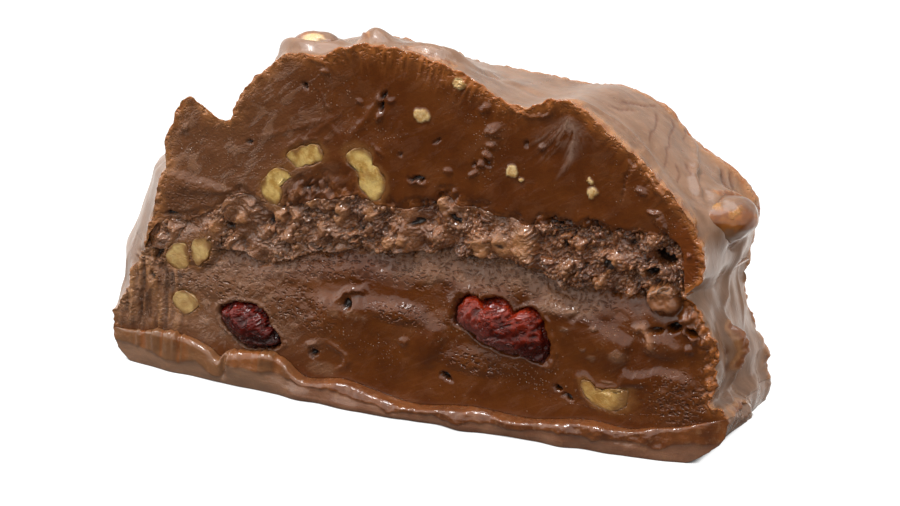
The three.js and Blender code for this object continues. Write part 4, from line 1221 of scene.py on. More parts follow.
FUDGE_COLOURS = {  # pairs: the darker and the paler clouds, or plain and milky fudge
    "cut": ((86, 40, 7), (102, 52, 13)), "milky": (120, 80, 54), "marble": (158, 118, 92),
    # dimple is partly painted shade inside the dimples
    # speck is partly painted glints
    "streak": (152, 106, 76), "speck": (166, 120, 84), "dimple": ((74, 32, 8), (104, 56, 26)),
    # fruit: painted shade in the gap round each fruit
    "tone": (150, 100, 68), "nut": (128, 82, 42), "fruit": (70, 30, 16),
    # the near-black is painted shade for pits, hollows and gaps
    "rim": ((172, 102, 48), (168, 118, 76)), "deep": (110, 54, 16), "gloom": (26, 12, 5),
    "outside": ((108, 77, 56), (127, 95, 73)), "run": (150, 114, 90),
    "outside deep": (128, 68, 24), "crust": (166, 118, 78), "crack": (92, 50, 26),
}
COAT_WEIGHTS = (0.3, 0.14)  # the shine laid over a cut, and over the outside
SHINES = (0.14, 0.26)  # a cut's roughness, from cloud to cloud
OUTSIDE_DULLER = 0.11  # how much rougher the outside is


def fudge_finish(name):
    colours = FUDGE_COLOURS
    fudge = Finish(name, roughness=SHINES[0], coat=COAT_WEIGHTS[0], coat_roughness=0.05,
                   specular=0.4, subsurface=0.08)
    clouds = fudge.noise(140.0, 5.0, Roughness=0.6)
    milky, coated, pebble = (fudge.mask(mask) for mask in ("milky", "coat", "pebble"))

    # the cut: cocoa and milk not quite stirred together, marbled in slanted strokes
    fudge.colour = fudge.mix(fudge.ramp(clouds, 0.35, 0.68), *colours["cut"])
    fudge.lay(milky, colours["milky"])
    slanted = fudge.vector("MULTIPLY", fudge.turned((0.0, 0.75, 0.0)), (0.42, 1.0, 1.0))
    marble = fudge.ramp(fudge.noise(430.0, 6.0, slanted, Roughness=0.7, Distortion=0.5), 0.5, 0.62)
    fudge.lay(fudge.times(marble, fudge.line(milky, 0.65, 0.06)), colours["marble"])
    drag = fudge.effect(KNIFE_DRAG, Tilt=0.5, Spacing=0.5)
    fudge.lay(fudge.times(drag["Streaks"], fudge.line(milky, 0.3, 0.07)), colours["streak"])

    # specks of ground nut and sugar, cut bubbles, and dimples where crumbs were torn off
    speck = fudge.effect(SPECKS, Spacing=0.85, Size=0.13, Share=0.4)["Mask"]
    bubble = fudge.effect(SPECKS, Spacing=0.46, Size=0.3, Share=0.5)["Mask"]
    bubble = fudge.times(bubble, fudge.mask("bubbly"))
    # partly painted glints: specks and cut bubbles are laid pale, and partly this is their own paler
    # colour
    pale = fudge.math("MAXIMUM", fudge.times(speck, 0.3), fudge.times(bubble, 0.5))
    fudge.lay(pale, colours["speck"])
    pebbles = fudge.effect(PEBBLES, Size=0.6)
    # partly painted shade: the dimples are laid darker inside, and partly it is the brown body showing
    # through a milky smear
    fudge.lay(fudge.times(pebbles["Dimples"], fudge.times(pebble, 0.65)),
              fudge.mix(milky, *colours["dimple"]))
    fudge.lay_masks(colours, "tone", "nut")
    fudge.lay("rim", fudge.mix(milky, *colours["rim"]))
    # fruit is painted shade in the gap round each fruit
    fudge.lay_masks(colours, "deep", "fruit")

    # the outside's coat, and where it is worn, torn or cracked
    runs = fudge.effect(COAT_MARKS)
    outside = fudge.mix(fudge.ramp(clouds, 0.3, 0.7), *colours["outside"])
    fudge.lay(coated, fudge.mix(fudge.times(runs["Streaks"], 0.4), outside, colours["run"]))
    fudge.lay(fudge.times(fudge.mask("deep"), coated), colours["outside deep"])
    # painted shade is laid last, dark in pits, hollows and gaps
    fudge.lay_masks(colours, "crust", "crack", "gloom")

    # the fine relief of the cut and of the outside
    torn = fudge.math("MAXIMUM", pebble, fudge.times(fudge.mask("rim"), 0.5))
    dragged = fudge.times(fudge.ramp(fudge.noise(210.0, 2.0), 0.4, 0.65),
                          fudge.line(milky, 0.6, 0.12))
    grain = fudge.noise(1900.0, 3.0, Roughness=0.6)
    on_a_cut = fudge.total(
        fudge.times(fudge.times(pebbles["Height"], torn), 2.6),
        fudge.times(drag["Height"], dragged),
        fudge.times(grain, fudge.line(milky, 0.75, 0.26)),
        fudge.times(speck, 0.5),
        fudge.times(marble, fudge.line(milky, 0.8, 0.1)),
        fudge.times(bubble, 0.9))
    on_the_outside = fudge.times(runs["Height"], fudge.times(coated, 0.6))
    height = fudge.total(fudge.times(on_a_cut, fudge.rest_of(coated)), on_the_outside)
    fudge.relief(height, 0.7, 0.25 * MM)

    shine = fudge.add("ShaderNodeMapRange", Value=clouds, From_Min=0.3, From_Max=0.7,
                      To_Min=SHINES[0], To_Max=SHINES[1]).outputs[0]
    fudge.link(fudge.line(coated, OUTSIDE_DULLER, shine), fudge.shader["Roughness"])
    weight = fudge.line(coated, COAT_WEIGHTS[1] - COAT_WEIGHTS[0], COAT_WEIGHTS[0])
    fudge.link(weight, fudge.shader["Coat Weight"])
    return fudge


def crumb_bottom(u, depth):
    return parting(CRUMB_BOTTOM, u, depth, 0, CRUMB_FRAY)


LOWER_CELLS = (560, 92)
layer("lower_fudge", "fudge_lower", "fudge", fudge_finish("lower fudge").made(), *LOWER_CELLS,
      (lambda u, d: parting(FOOT_TOP, u, d),
       crumb_bottom,
       outline_part(FOOT_TOP["rows"][0], CRUMB_BOTTOM["rows"][0]),
       outline_part(FOOT_TOP["rows"][1], CRUMB_BOTTOM["rows"][1])),
      lower_relief, ("left", "right"), coat_finish, LEVELS)

# ================ CRUMBS ================
# A band of crushed cake stirred into melted chocolate: moist glossy crumbs from dust to the size of
# a pea, with hollows where some fell out. Scattered over a core that has the band's own relief.
CRUMB_SIZE = 2.1
CRUMB_RELIEF = 0.75
CRUMB_TOP = {
    "rows": (5.0, 33.0),
    "points": [(-44.7, 20.5, 5.1), (-43.4, 23.4, 6.2), (-42.0, 25.4, 7.2), (-39.4, 26.0, 9),
               (-36, 26.6, 11.5), (-32.6, 28.6, 13.2), (-26.5, 31.8, 15.6), (-19, 31.2, 17.8),
               (-9, 34, 20.2), (2, 34.1, 21.7), (8, 36, 22.6), (18, 34.3, 24.2),
               (32.6, 34.6, 27.7), (42.8, 35.6, 29.6), (45, 34.2, 30.8), (45.6, 30.2, 31.8),
               (46.2, 26.6, 32.9)],
}
CRUMB_TOP["curve"] = Line(CRUMB_TOP["points"])
TURNS = (2, 14)  # the points where the top line turns down into the ends


def share_at(line, number):
    steps = Line.STEPS
    return line["curve"].share[round(steps * number / (len(line["points"]) - 1))]


LEFT_TURN, RIGHT_TURN = (share_at(CRUMB_TOP, number) for number in TURNS)


def crumb_top(start, end):
    return lambda part, depth: parting(
        CRUMB_TOP, start + (end - start) * np.asarray(part), depth, 0, CRUMB_FRAY)


CRUMB_HOLLOWS = [
    (3, 31, 2.4, 1.2, 10, -1.2), (-22, 27.5, 2.4, 1.4, 40, -1.2), (9.5, 32.4, 2.2, 1.3, -20, -1.3),
    (27, 31, 2, 1.2, 60, -1), (-10.5, 30.5, 2, 1.1, -40, -1), (34, 29, 2.4, 1.5, 15, -1.4),
    (-29.5, 25.5, 2, 1.2, 0, -1), (17, 29.5, 1.8, 1.2, 0, -1), (37.5, 32.6, 2, 1.2, 0, -1),
]
CRUMB_LUMPS = [
    (20.6, 29.6, 4.4, 5.2, 10, 1.3), (13.6, 30, 3.4, 3, 30, 1), (-12.6, 27.4, 3.6, 2.4, 60, 0.9),
    (-21.5, 30.2, 2.6, 2, 0, 0.9), (6, 28.6, 3.6, 2.4, 20, 0.9), (-4.6, 29.2, 3, 2.2, -20, 0.8),
    (24.5, 27.4, 2.6, 2, 0, 0.8), (30, 27, 2.4, 2, 0, 0.7), (-33, 24, 3.2, 3.8, 0, 0.8),
]


CRUMB_FLAPS = [  # smooth torn lumps: x, z, length, width, tilt
    (-9.9, 30.5, 4.4, 2.4, 80), (-14.9, 32, 2.4, 2.4, 60), (-20.1, 29, 3, 2, 75),
    (-1.8, 26.9, 2.6, 2.2, 40), (0.4, 27.8, 1.8, 2, 0), (7.3, 34.8, 2.4, 1.8, 70),
    (13.4, 28.4, 3.4, 4.2, 20), (16.9, 29.4, 3, 4, 30), (20.4, 30.4, 3.6, 5, 8),
    (-27, 27.4, 2.6, 1.8, 60), (-4.6, 31.4, 2.4, 1.6, 80), (-31.6, 25.6, 2.8, 1.9, 70),
    (34.4, 29, 3.6, 1.2, 65), (32.9, 26, 3, 1.1, 60),
]
CRUMB_BASE = -0.45  # how far the crumbs lie back from the cut


def flaps(x, z):
    return np.clip(marks(x, z, [(*flap, 1.0) for flap in CRUMB_FLAPS]), 0, 1)


def crumb_relief(x, z, up, at_back):
    seed = BACK_SEED if at_back else FRONT_SEED
    crumbs, gloom = crumb_face(x, z, at_back)
    out = CRUMB_BASE + CRUMB_RELIEF * noise(x / CRUMB_SIZE, z / CRUMB_SIZE, 0, seed) + crumbs
    mx = -x if at_back else x
    wx, wz = warped(mx, z)
    hollows = marks(wx, wz, CRUMB_HOLLOWS)
    out = out + 0.8 * hollows + 0.7 * marks(wx, wz, CRUMB_LUMPS)
    flap = flaps(wx, wz)
    out = out * (1 - 0.85 * flap) + flap * (0.5 + 0.3 * noise(x / 1.6, z / 1.6, 0, 92))
    # painted light: crumbs that stand further out of the cut are laid paler, as if lit
    pale = smooth(out, -0.2, 0.9)
    out, dark, blob = right_end(mx, z, out)
    edge, _ = edge_place(x, z, at_back)
    nut = 0
    if not at_back:
        out, _, nut = bed(x, z, out)
    smeared = smooth(rough(x, z, SMEAR_SIZE, 87), -0.1, -0.8) * (1 - smooth(x, 12, 26))
    # painted shade in the crumbs' gaps and in the hollows, less on the smooth flaps
    dark = gloom * (1 - flap) + smooth(hollows, -0.6, -1.1) + dark
    return on_cut(x, z, out, at_back), {
        "gloom": np.clip(dark, 0, 1), "nut": nut, "smeared": smeared, "blob": blob,
        "tone": np.clip(0.65 * blob + 0.75 * flap + 0.5 * pale, 0, 1),
        "rim": 0.8 * np.exp(-(edge / 0.6) ** 2), "milky": smooth(x, 14, -26)}


CRUMB_COLOURS = {
    "crumb": ((100, 52, 22), (146, 88, 46)), "milky": (150, 106, 76), "smeared": (116, 70, 38),
    # film is partly painted sheen
    # tone is partly painted light, on crumbs that stand out
    "film": (152, 115, 92), "tone": (164, 110, 68), "rim": (150, 92, 48), "nut": (128, 82, 42),
    # the last is painted shade for the crumbs' gaps and hollows
    "coat": (118, 84, 62), "gloom": (38, 19, 9),
}


def crumb_finish():
    crumbs = Finish("moist crumbs", roughness=0.2, coat=0.85, coat_roughness=0.06, specular=0.45,
                    subsurface=0.1)
    clouds = crumbs.ramp(crumbs.noise(420.0, 4.0, Roughness=0.65), 0.36, 0.66)
    crumbs.colour = crumbs.mix(clouds, *CRUMB_COLOURS["crumb"])
    crumbs.lay(crumbs.times(crumbs.mask("milky"), 0.5), CRUMB_COLOURS["milky"])
    crumbs.lay_masks(CRUMB_COLOURS, "smeared")
    # partly painted sheen: pale mauve patches stand in for the grey reflection on the crumbs' upward
    # facets, and partly smeared milky chocolate
    film = crumbs.ramp(crumbs.noise(560.0, 4.0, Roughness=0.62, Distortion=2.2), 0.52, 0.61)
    crumbs.lay(crumbs.times(film, 0.5), CRUMB_COLOURS["film"])
    # painted shade is laid last, dark in the crumbs' gaps and hollows
    crumbs.lay_masks(CRUMB_COLOURS, "tone", "rim", "nut", "coat", "gloom")
    skin = crumbs.noise(2100.0, 3.0, Roughness=0.55, Distortion=0.8)
    plain = crumbs.math("MAXIMUM", crumbs.mask("coat"), crumbs.mask("blob"))
    crumbs.relief(crumbs.times(skin, crumbs.rest_of(plain)), 0.8, 0.4 * MM)
    return crumbs.made()


CRUMBS = crumb_finish()
CORE_CELLS = (600, 80)
core = layer("crumb_core", "crumb_layer", "crumbs", CRUMBS, *CORE_CELLS,
             (crumb_bottom, crumb_top(LEFT_TURN, RIGHT_TURN), crumb_top(0, LEFT_TURN),
              crumb_top(1, RIGHT_TURN)),
             crumb_relief, (), coat_finish, LEVELS)


# ---- loose crumbs, scattered over both cut faces of the core ----
CRUMB_KINDS = 6
CRUMB_LENGTH, CRUMB_FLATNESS = 1.25, 0.62  # of their size across


def crumb_stock():
    """A few lumpy crumbs, about a millimetre across, as hidden stock for the scatter."""
    stock = bpy.data.collections.new("crumb stock")
    radius = 0.5 * MM
    for number in range(CRUMB_KINDS):
        mesh = bpy.data.meshes.new(f"crumb {number}")
        crumb = bmesh.new()
        bmesh.ops.create_icosphere(crumb, subdivisions=1, radius=radius)
        for vertex in crumb.verts:
            p = np.array(vertex.co) / radius
            bump = 1 + 0.4 * float(noise(1.7 * p[0] + 5 * number, 1.7 * p[1], 1.7 * p[2], 91))
            vertex.co = Vector(vertex.co) * bump
            vertex.co.z *= CRUMB_FLATNESS
            vertex.co.x *= CRUMB_LENGTH
        crumb.to_mesh(mesh)
        crumb.free()
        mesh.shade_smooth()
        stock.objects.link(bpy.data.objects.new(f"crumb {number}", mesh))
    return stock


MOST_CRUMBS = 4.0e6  # to the square metre, before those that are too close are left out
CRUMB_SMALLNESS = 2.2  # more makes small crumbs commoner
PALEST_CRUMB = 0.7


def scatter_tree(stock):
    """Geometry Nodes: crumbs spread over a patch, half sunk in it, with a tone of their own."""
    nodes = Nodes(bpy.data.node_groups.new("crumb scatter", "GeometryNodeTree"))
    add = nodes.add
    for socket, kind, in_out in (
            ("Patch", "Geometry", "INPUT"), ("Spacing", "Float", "INPUT"),
            ("Smallest", "Float", "INPUT"), ("Largest", "Float", "INPUT"),
            ("Seed", "Int", "INPUT"), ("Finish", "Material", "INPUT"),
            ("Crumbs", "Geometry", "OUTPUT")):
        nodes.tree.interface.new_socket(socket, in_out=in_out, socket_type="NodeSocket" + kind)
    given = add("NodeGroupInput").outputs
    points = add("GeometryNodeDistributePointsOnFaces", {"distribute_method": "POISSON"},
                 Mesh=given["Patch"], Distance_Min=given["Spacing"], Density_Max=MOST_CRUMBS,
                 Seed=given["Seed"]).outputs["Points"]
    size = add("FunctionNodeRandomValue", {"data_type": "FLOAT"}, i2=0.0, i3=1.0, Seed=5)
    scale = add("ShaderNodeMapRange",
                Value=nodes.math("POWER", size.outputs[1], CRUMB_SMALLNESS),
                To_Min=given["Smallest"], To_Max=given["Largest"]).outputs[0]
    turn = add("FunctionNodeRandomValue", {"data_type": "FLOAT_VECTOR"}, i0=(0, 0, 0),
               i1=(math.tau, math.tau, math.tau), Seed=6).outputs[0]
    kinds = add("GeometryNodeCollectionInfo", Collection=stock, Separate_Children=True,
                Reset_Children=True).outputs[0]
    pick = add("FunctionNodeRandomValue", {"data_type": "INT"}, i4=0, i5=CRUMB_KINDS - 1, Seed=7)
    crumbs = add("GeometryNodeInstanceOnPoints", Points=points, Instance=kinds,
                 Pick_Instance=True, Instance_Index=pick.outputs[2], Rotation=turn, Scale=scale)
    tone = add("FunctionNodeRandomValue", {"data_type": "FLOAT"}, i2=0.0, i3=PALEST_CRUMB, Seed=8)
    toned = add("GeometryNodeStoreNamedAttribute", {"data_type": "FLOAT", "domain": "INSTANCE"},
                Geometry=crumbs.outputs[0], Name="tone", Value=tone.outputs[1])
    real = add("GeometryNodeRealizeInstances", Geometry=toned.outputs[0])
    finished = add("GeometryNodeSetMaterial", Geometry=real.outputs[0], Material=given["Finish"])
    nodes.link(finished.outputs[0], add("NodeGroupOutput").inputs[0])
    return nodes.tree


def scatter(name, patch, tree, **values):
    """The scatter's crumbs on a patch of mesh, as a plain piece."""
    holder = bpy.data.objects.new(name + "_holder", patch)
    bpy.context.scene.collection.objects.link(holder)
    modifier = holder.modifiers.new("scatter", "NODES")
    modifier.node_group = tree
    for socket in tree.interface.items_tree:
        if socket.in_out == "INPUT" and socket.name in values:
            modifier[socket.identifier] = values[socket.name]
    bpy.context.view_layer.update()
    evaluated = holder.evaluated_get(bpy.context.evaluated_depsgraph_get())
    made = bpy.data.meshes.new_from_object(evaluated)
    holder.modifiers.clear()
    bpy.data.objects.remove(holder)
    made.name = name
    made.shade_smooth()
    piece = bpy.data.objects.new(name, made)
    bpy.context.scene.collection.objects.link(piece)
    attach(piece, "root")
    return piece


def crumb_patch(at_back):
    """The part of the core's cut that crumbs lie on: its faces that look out of the cut."""
    patch = bmesh.new()
    patch.from_mesh(core.data)
    patch.faces.ensure_lookup_table()
    cells_in_cut = CORE_CELLS[0] * CORE_CELLS[1]
    first = cells_in_cut if at_back else 0
    kept = set(range(first, first + (cells_in_cut // 4 if at_back else cells_in_cut)))
    middles = np.array([face.calc_center_median() for face in patch.faces])
    x, z = middles[:, 0] / MM - SIDE_SHIFT, middles[:, 2] / MM
    close = np.full(len(x), 9.0)
    if not at_back:
        for lump in WALNUTS.values():
            close = np.minimum(close, within(lump, x, z))
        for sx, sz, length, width, _, _ in RIGHT_HOLLOWS:
            close = np.minimum(close, np.hypot((x - sx) / length * 2, (z - sz) / width * 2))
        close = np.minimum(close, np.hypot(x - BLOB["at"][0], z - BLOB["at"][1]) / BLOB["radius"])
    clumped = noise(x / 2.4, z / 2.4, 0, 88) + 0.6 * smooth(x, 22, 28)
    close = np.where((clumped < 0.2) | (flaps(-x if at_back else x, z) > 0.3), 0, close)
    gone = [face for face in patch.faces if face.index not in kept or close[face.index] < 1.0]
    bmesh.ops.delete(patch, geom=gone, context="FACES")
    mesh = bpy.data.meshes.new("crumb patch")
    patch.to_mesh(mesh)
    patch.free()
    return mesh


CRUMB_SPACING = 0.7
CRUMB_SCATTER = scatter_tree(crumb_stock())
for side, at_back, seed in (("front", False, 3), ("back", True, 4)):
    scatter("crumbs_" + side, crumb_patch(at_back), CRUMB_SCATTER, Spacing=CRUMB_SPACING * MM,
            Smallest=0.3, Largest=1.2, Seed=seed, Finish=CRUMBS)

# ================ UPPER FUDGE ================
# A second pour of the same fudge over the crumbs, wrapping their ends in a thin rim, with bits of
# nut and bubbles in it. Its outside is the mound's smooth glossy coat, drawn down in runs.
NUT_BITS = [(4.2, 48.3, 2.9, 2.4, 10), (18.6, 41.4, 2.0, 2.1, 40), (31.2, 39.9, 1.6, 2.0, -30),
            (10.2, 53.9, 1.9, 1.9, 20), (31, 41.6, 0.9, 1, 0), (20, 40.2, 0.9, 0.7, 0)]
UPPER_SPOTS = [  # x, z, length, width, tilt, height
    (-15.3, 50.4, 1.2, 0.6, -60, -1.6), (-11.8, 53, 1.3, 1.2, 0, 0.4), (3.2, 38.1, 2.6, 0.6, 5, -1.3),
    (3.2, 37.5, 2.6, 0.5, 0, 0.35), (23.4, 45.8, 0.8, 0.8, 0, 0.4), (6.6, 44.5, 1.2, 0.5, 40, -0.6),
    (15.4, 47.4, 2.6, 1.5, 30, 0.5), (15.9, 46.8, 1.2, 1.4, 0, 0.5),
    (14.2, 50.4, 1.9, 1.4, 30, 0.4), (20.9, 46, 0.8, 1.4, 0, -0.5),
    (0.5, 41.5, 0.9, 0.5, 0, -0.6), (-25, 40.3, 1.1, 0.5, 10, -0.8), (-39.8, 26.4, 2.4, 0.8, 5, -1),
    (-2.2, 50.4, 1.2, 0.8, 60, -0.9), (-2.6, 48.6, 1.4, 0.7, 80, -1), (-1, 49.9, 1.3, 0.5, 30, 0.4),
    (-3, 47, 1.3, 0.9, 60, 0.6), (-2.9, 49.6, 1.3, 0.5, -70, 0.5), (-6.3, 48.9, 0.9, 0.6, 0, 0.4),
    (15.3, 44.9, 1.2, 1, 0, 0.55), (14.6, 43.4, 1.2, 1.5, 60, 0.6), (13.7, 41.8, 1.2, 1, 0, 0.5),
    (12.5, 40.2, 1.6, 1, 30, 0.5), (14.7, 42.3, 0.7, 1.4, 20, -0.7), (12.6, 41.8, 0.9, 0.5, 50, -0.5),
    (40.8, 38.3, 1.6, 0.8, 0, 0.6), (44.6, 33, 0.8, 1.1, 0, 0.35), (46.2, 32.4, 0.6, 1, -30, 0.35),
    (41.9, 36.9, 1.6, 2.6, 20, 0.55), (38.9, 41, 1.4, 1.2, 0, 0.45), (37.3, 45.6, 1.6, 1, -50, -0.4),
    (37, 47.2, 1.3, 0.8, -50, 0.4), (-36.5, 41, 1.6, 1, 40, 0.3), (8.4, 39.9, 1, 1, 0, 0.3),
]
UPPER_STROKES = [  # points, width, height
    ([(-13.2, 50.4), (-12.2, 48.6), (-11.5, 47.2)], 0.4, 0.3),
    ([(-15.2, 55), (-12.6, 54.6), (-11.2, 53.6)], 0.5, 0.3),
    ([(-24, 41), (-18, 43.2), (-11, 46)], 0.8, 0.14),
    ([(-21, 39.6), (-14, 43), (-9.4, 47)], 0.7, 0.12),
    ([(-9, 41.8), (-5, 46.4), (-1.8, 52)], 1.2, 0.22),
    ([(-8.6, 38.8), (-9.8, 43.2), (-11.4, 44.8)], 0.9, 0.18),
    ([(-19.6, 39.3), (-17.2, 41), (-14.8, 41.9), (-12, 42.2)], 0.6, 0.45),
    ([(-6.2, 42.5), (-4, 42.3), (-2.4, 41.3)], 0.7, 0.4),
    ([(37.7, 45.7), (36.3, 42.8), (35.7, 38.8)], 0.35, -0.25),
    ([(39.8, 44), (41, 42.2), (42.6, 40.6)], 0.9, 0.5),
    ([(25, 52), (24, 50.4), (21, 50.2), (17.6, 51.2)], 0.7, 0.3),
]
UPPER_LEDGES = [  # points, rise, ramp
    ([(-41, 34), (-36, 33.2), (-30, 32), (-25, 30.6)], 0.5, 1.6),
    ([(-38, 30.6), (-33, 30.8), (-28, 31.6)], -0.35, 1.2),
]
UPPER_BUBBLES = [  # x, z, reach across, reach up
    (41, 43.5, 3.5, 5), (13, 51.5, 5, 3), (-5, 44, 6, 3.5), (-26, 38, 8, 4),
    (14.5, 45, 3, 6), (-33, 36, 6, 6), (-12, 50, 6, 3), (43.5, 37, 2.5, 4),
]
FAN = dict(at=(27.6, 51.6), reach=9.2, spread=46)  # a smear that fans down and out from here


def row_above(fraction):
    points = CRUMB_TOP["points"]
    place = CRUMB_TOP["curve"].place(fraction) * (len(points) - 1)
    return np.interp(place, np.arange(len(points)), [point[2] for point in points])


RIM_SHARE = 4 / 51  # of the way along, taken by the rim at either end of the crumbs


def along_crumbs(u):
    u = np.asarray(u, float)
    middle = LEFT_TURN + (RIGHT_TURN - LEFT_TURN) * (u - RIM_SHARE) / (1 - 2 * RIM_SHARE)
    right = 1 + (RIGHT_TURN - 1) * (1 - u) / RIM_SHARE
    return np.where(u < RIM_SHARE, LEFT_TURN * u / RIM_SHARE,
                    np.where(u > 1 - RIM_SHARE, right, middle))


BIT_HEIGHT = 0.25  # how far the bits of nut stand out
BETWEEN_NUTS = -13.0  # where the crumbs reach up between the nuts, and how far


def fan_smear(x, z):
    """A smear dragged down and out in rays: where it is, and its rays from about -1 to 1."""
    dx, dz = x - FAN["at"][0], FAN["at"][1] - z
    away, turn = np.hypot(dx, dz), np.degrees(np.arctan2(dx + 0.06 * dz * dz, dz))
    end = smooth(away + 2.8 * noise(turn / 6, 0, 0, 77), 3.6, FAN["reach"])
    fan = smooth(away, 0.3, 1.2) * (1 - end)
    fan *= np.exp(-(turn / FAN["spread"]) ** 4)
    rays = noise(turn / 3.0 + noise(x / 1.5, z / 1.5, 0, 80), away / 4, 0, 78)
    fine = noise(turn / 1.1 + noise(x / 0.8, z / 0.8, 0, 80), away / 3, 0, 79)
    return fan, 0.6 * rays + 0.5 * fine


def upper_relief(x, z, up, at_back):
    seed = BACK_SEED if at_back else FRONT_SEED
    mx, mz = (-0.9 * x, 0.97 * z + 1.0) if at_back else (x, z)  # the back has other marks
    wx, wz = warped(mx, mz)

    # slow waves, the larger marks, the bits of nut and the fan
    out = 0.22 * noise(x / 8, z / 8, 0, seed) + 0.1 * noise(x / 2.5, z / 2.5, 0, seed + 1)
    bits = marks(wx, wz, [(*bit, 1.0) for bit in NUT_BITS])
    pits, rises = pits_and_rises(wx, wz, UPPER_SPOTS, UPPER_STROKES, UPPER_LEDGES)
    out = out + pits + rises
    out = out + BIT_HEIGHT * smooth(bits, 0.2, 0.7) + 0.03 * rough(x, z, 1.4, 76, 2)
    fan, rays = fan_smear(mx, mz)
    out = out + fan * (0.09 * rays + 0.12)

    # the ragged edge, combed where the knife dragged the fudge over it
    edge, place = edge_place(x, z, at_back)
    ragged = rough(x, z, 1.1, 79, 3)
    out = out + np.exp(-(edge / 0.9) ** 2) * (0.1 + 0.3 * ragged)
    combed = 0.3 + 0.7 * np.exp(-((mx - 2) / 12) ** 4)
    teeth = comb(edge, place, 65)
    out = out + 0.2 * combed * teeth * np.exp(-(edge / 2.7) ** 2)

    # the crumbs' relief where the fudge touches them, then the right end and the pieces in it
    above = up * BAND_HEIGHT
    reach = CRUMB_REACH + 3.2 * np.exp(-((x - BETWEEN_NUTS) / 6.0) ** 4)
    near = 1 - smooth(above + 0.9 * rough(x, z, 1.8, 70, 2), 0.2 * reach, reach)
    near = near * smooth(edge, 1.2, 3.0)
    crumbs, gloom = crumb_face(x, z, at_back)
    out = out + near * (crumbs - 0.35)
    out, hollow, blob = right_end(mx, mz, out)
    fruit, nut = 0, 0
    if not at_back:
        out, fruit, nut = bed(x, z, out)

    deep = smooth(x, 42.6, 45.4) * (1 - smooth(z, 35, 39))
    deep = deep * smooth(edge + 0.3 * ragged, 0.5, 1.2) * (1 - blob)
    tan = 0.35 * smooth(x, 26, 32) * smooth(z, 34, 37) * np.exp(-(edge / 0.7) ** 2)
    strokes = combed * np.exp(-(edge / 4.2) ** 4) * smooth(teeth, -0.3, 0.6)
    rim = (np.exp(-((edge + 0.4 * ragged) / (1.1 + 0.5 * combed)) ** 2) + 0.3 * strokes
           + 0.4 * smooth(x, -39.5, -43.0) * (z < 33) + 0.35 * near * smooth(ragged, 0.0, 0.6))
    # painted shade in the pits, the hollows and the crumbs' gaps
    dark = smooth(pits, -PIT_DEPTH, -2 * PIT_DEPTH) + hollow + near * gloom
    pale = fan * (0.45 + 0.8 * rays + 0.5 * rough(mx, mz, 1.6, 99))
    return on_cut(x, z, settle(x, z, out, at_back), at_back), {
        "rim": 0.9 * np.clip(rim, 0, 1), "deep": deep, "nut": nut, "fruit": fruit,
        "bubbly": bubbly(x, z, (mx, mz), UPPER_BUBBLES), "bit": smooth(bits, 0.3, 0.75),
        "tone": 0.5 * blob, "gloom": np.clip(dark, 0, 1), "fan": np.clip(pale, 0, 1),
        "pebble": 0.3 * np.exp(-(((mx + 37) / 6) ** 2 + ((mz - 29) / 4) ** 2) ** 2),
        "milky": np.maximum(0.6 * smooth(x, -4, -30), tan)}


BIT_COLOURS = ((190, 146, 86), (226, 194, 140))
FAN_COLOUR = (146, 116, 100)


def upper_finish():
    fudge = fudge_finish("upper fudge")
    grain = fudge.ramp(fudge.noise(1500.0, 3.0), 0.35, 0.65)
    fudge.lay("bit", fudge.mix(grain, *BIT_COLOURS))
    fudge.lay(fudge.times(fudge.mask("fan"), 0.8), FAN_COLOUR)
    return fudge.made()


UPPER_CELLS = (540, 84)
layer("upper_fudge", "fudge_upper", "fudge", upper_finish(), *UPPER_CELLS,
      (lambda u, d: parting(CRUMB_TOP, along_crumbs(u), d, 0, CRUMB_FRAY),
       lambda u, d: outline(row_above(along_crumbs(u)), d), None, None),
      upper_relief, ("top", "left", "right"), coat_finish, UPPER_LEVELS)

# ================ CRANBERRIES ================
# Two whole dried cranberries caught in the lower fudge: soft, glossy, deep red skins, wrinkled into
# ridges along their length, each in the pocket it has drawn back from.
FRUIT_ROUNDNESS, NUT_ROUNDNESS = 0.72, 0.6  # less has steeper sides


def ball(detail):
    """The points and the faces of a ball of radius 1."""
    made = bmesh.new()
    bmesh.ops.create_icosphere(made, subdivisions=detail, radius=1)
    points = np.array([vertex.co for vertex in made.verts])
    faces = [[vertex.index for vertex in face.verts] for face in made.faces]
    made.free()
    return points, faces


def lump_mesh(name, lump, node_name, material, relief, detail, roundness, front=None):
    """A lump with its true outline at the cut, where it is cut off `front` mm out of the plane."""
    p, faces = ball(detail)
    a, d, b = p[:, 0], p[:, 1], p[:, 2]
    across = np.maximum(np.hypot(a, b), 1e-6)
    reach = reach_of(lump, np.arctan2(b, a))
    share = np.minimum(across, 1) ** roundness
    x, z = a / across * reach * share, b / across * reach * share
    y = lump["half"] * d
    push, masks = relief(x, y, z, share, lump["seed"])
    normal = np.stack([a / reach, d / lump["half"], b / reach], -1)
    normal /= np.linalg.norm(normal, axis=1, keepdims=True)
    x, y, z = (np.stack([x, y, z], -1) + normal * push[:, None]).T
    x, z = x + lump["middle"][0], z + lump["middle"][1]
    y = y + lump["deep"] - cut_bow(x, z)
    if front is not None:
        y = np.maximum(y, -cut_bow(x, z) - front(x, z))
    put_mesh(name, np.stack([x, y, z], -1), faces, masks, material, node_name)


RIDGES, CREASES, WRINKLES = 0.55, 0.42, 0.16  # heights, from the broadest to the finest


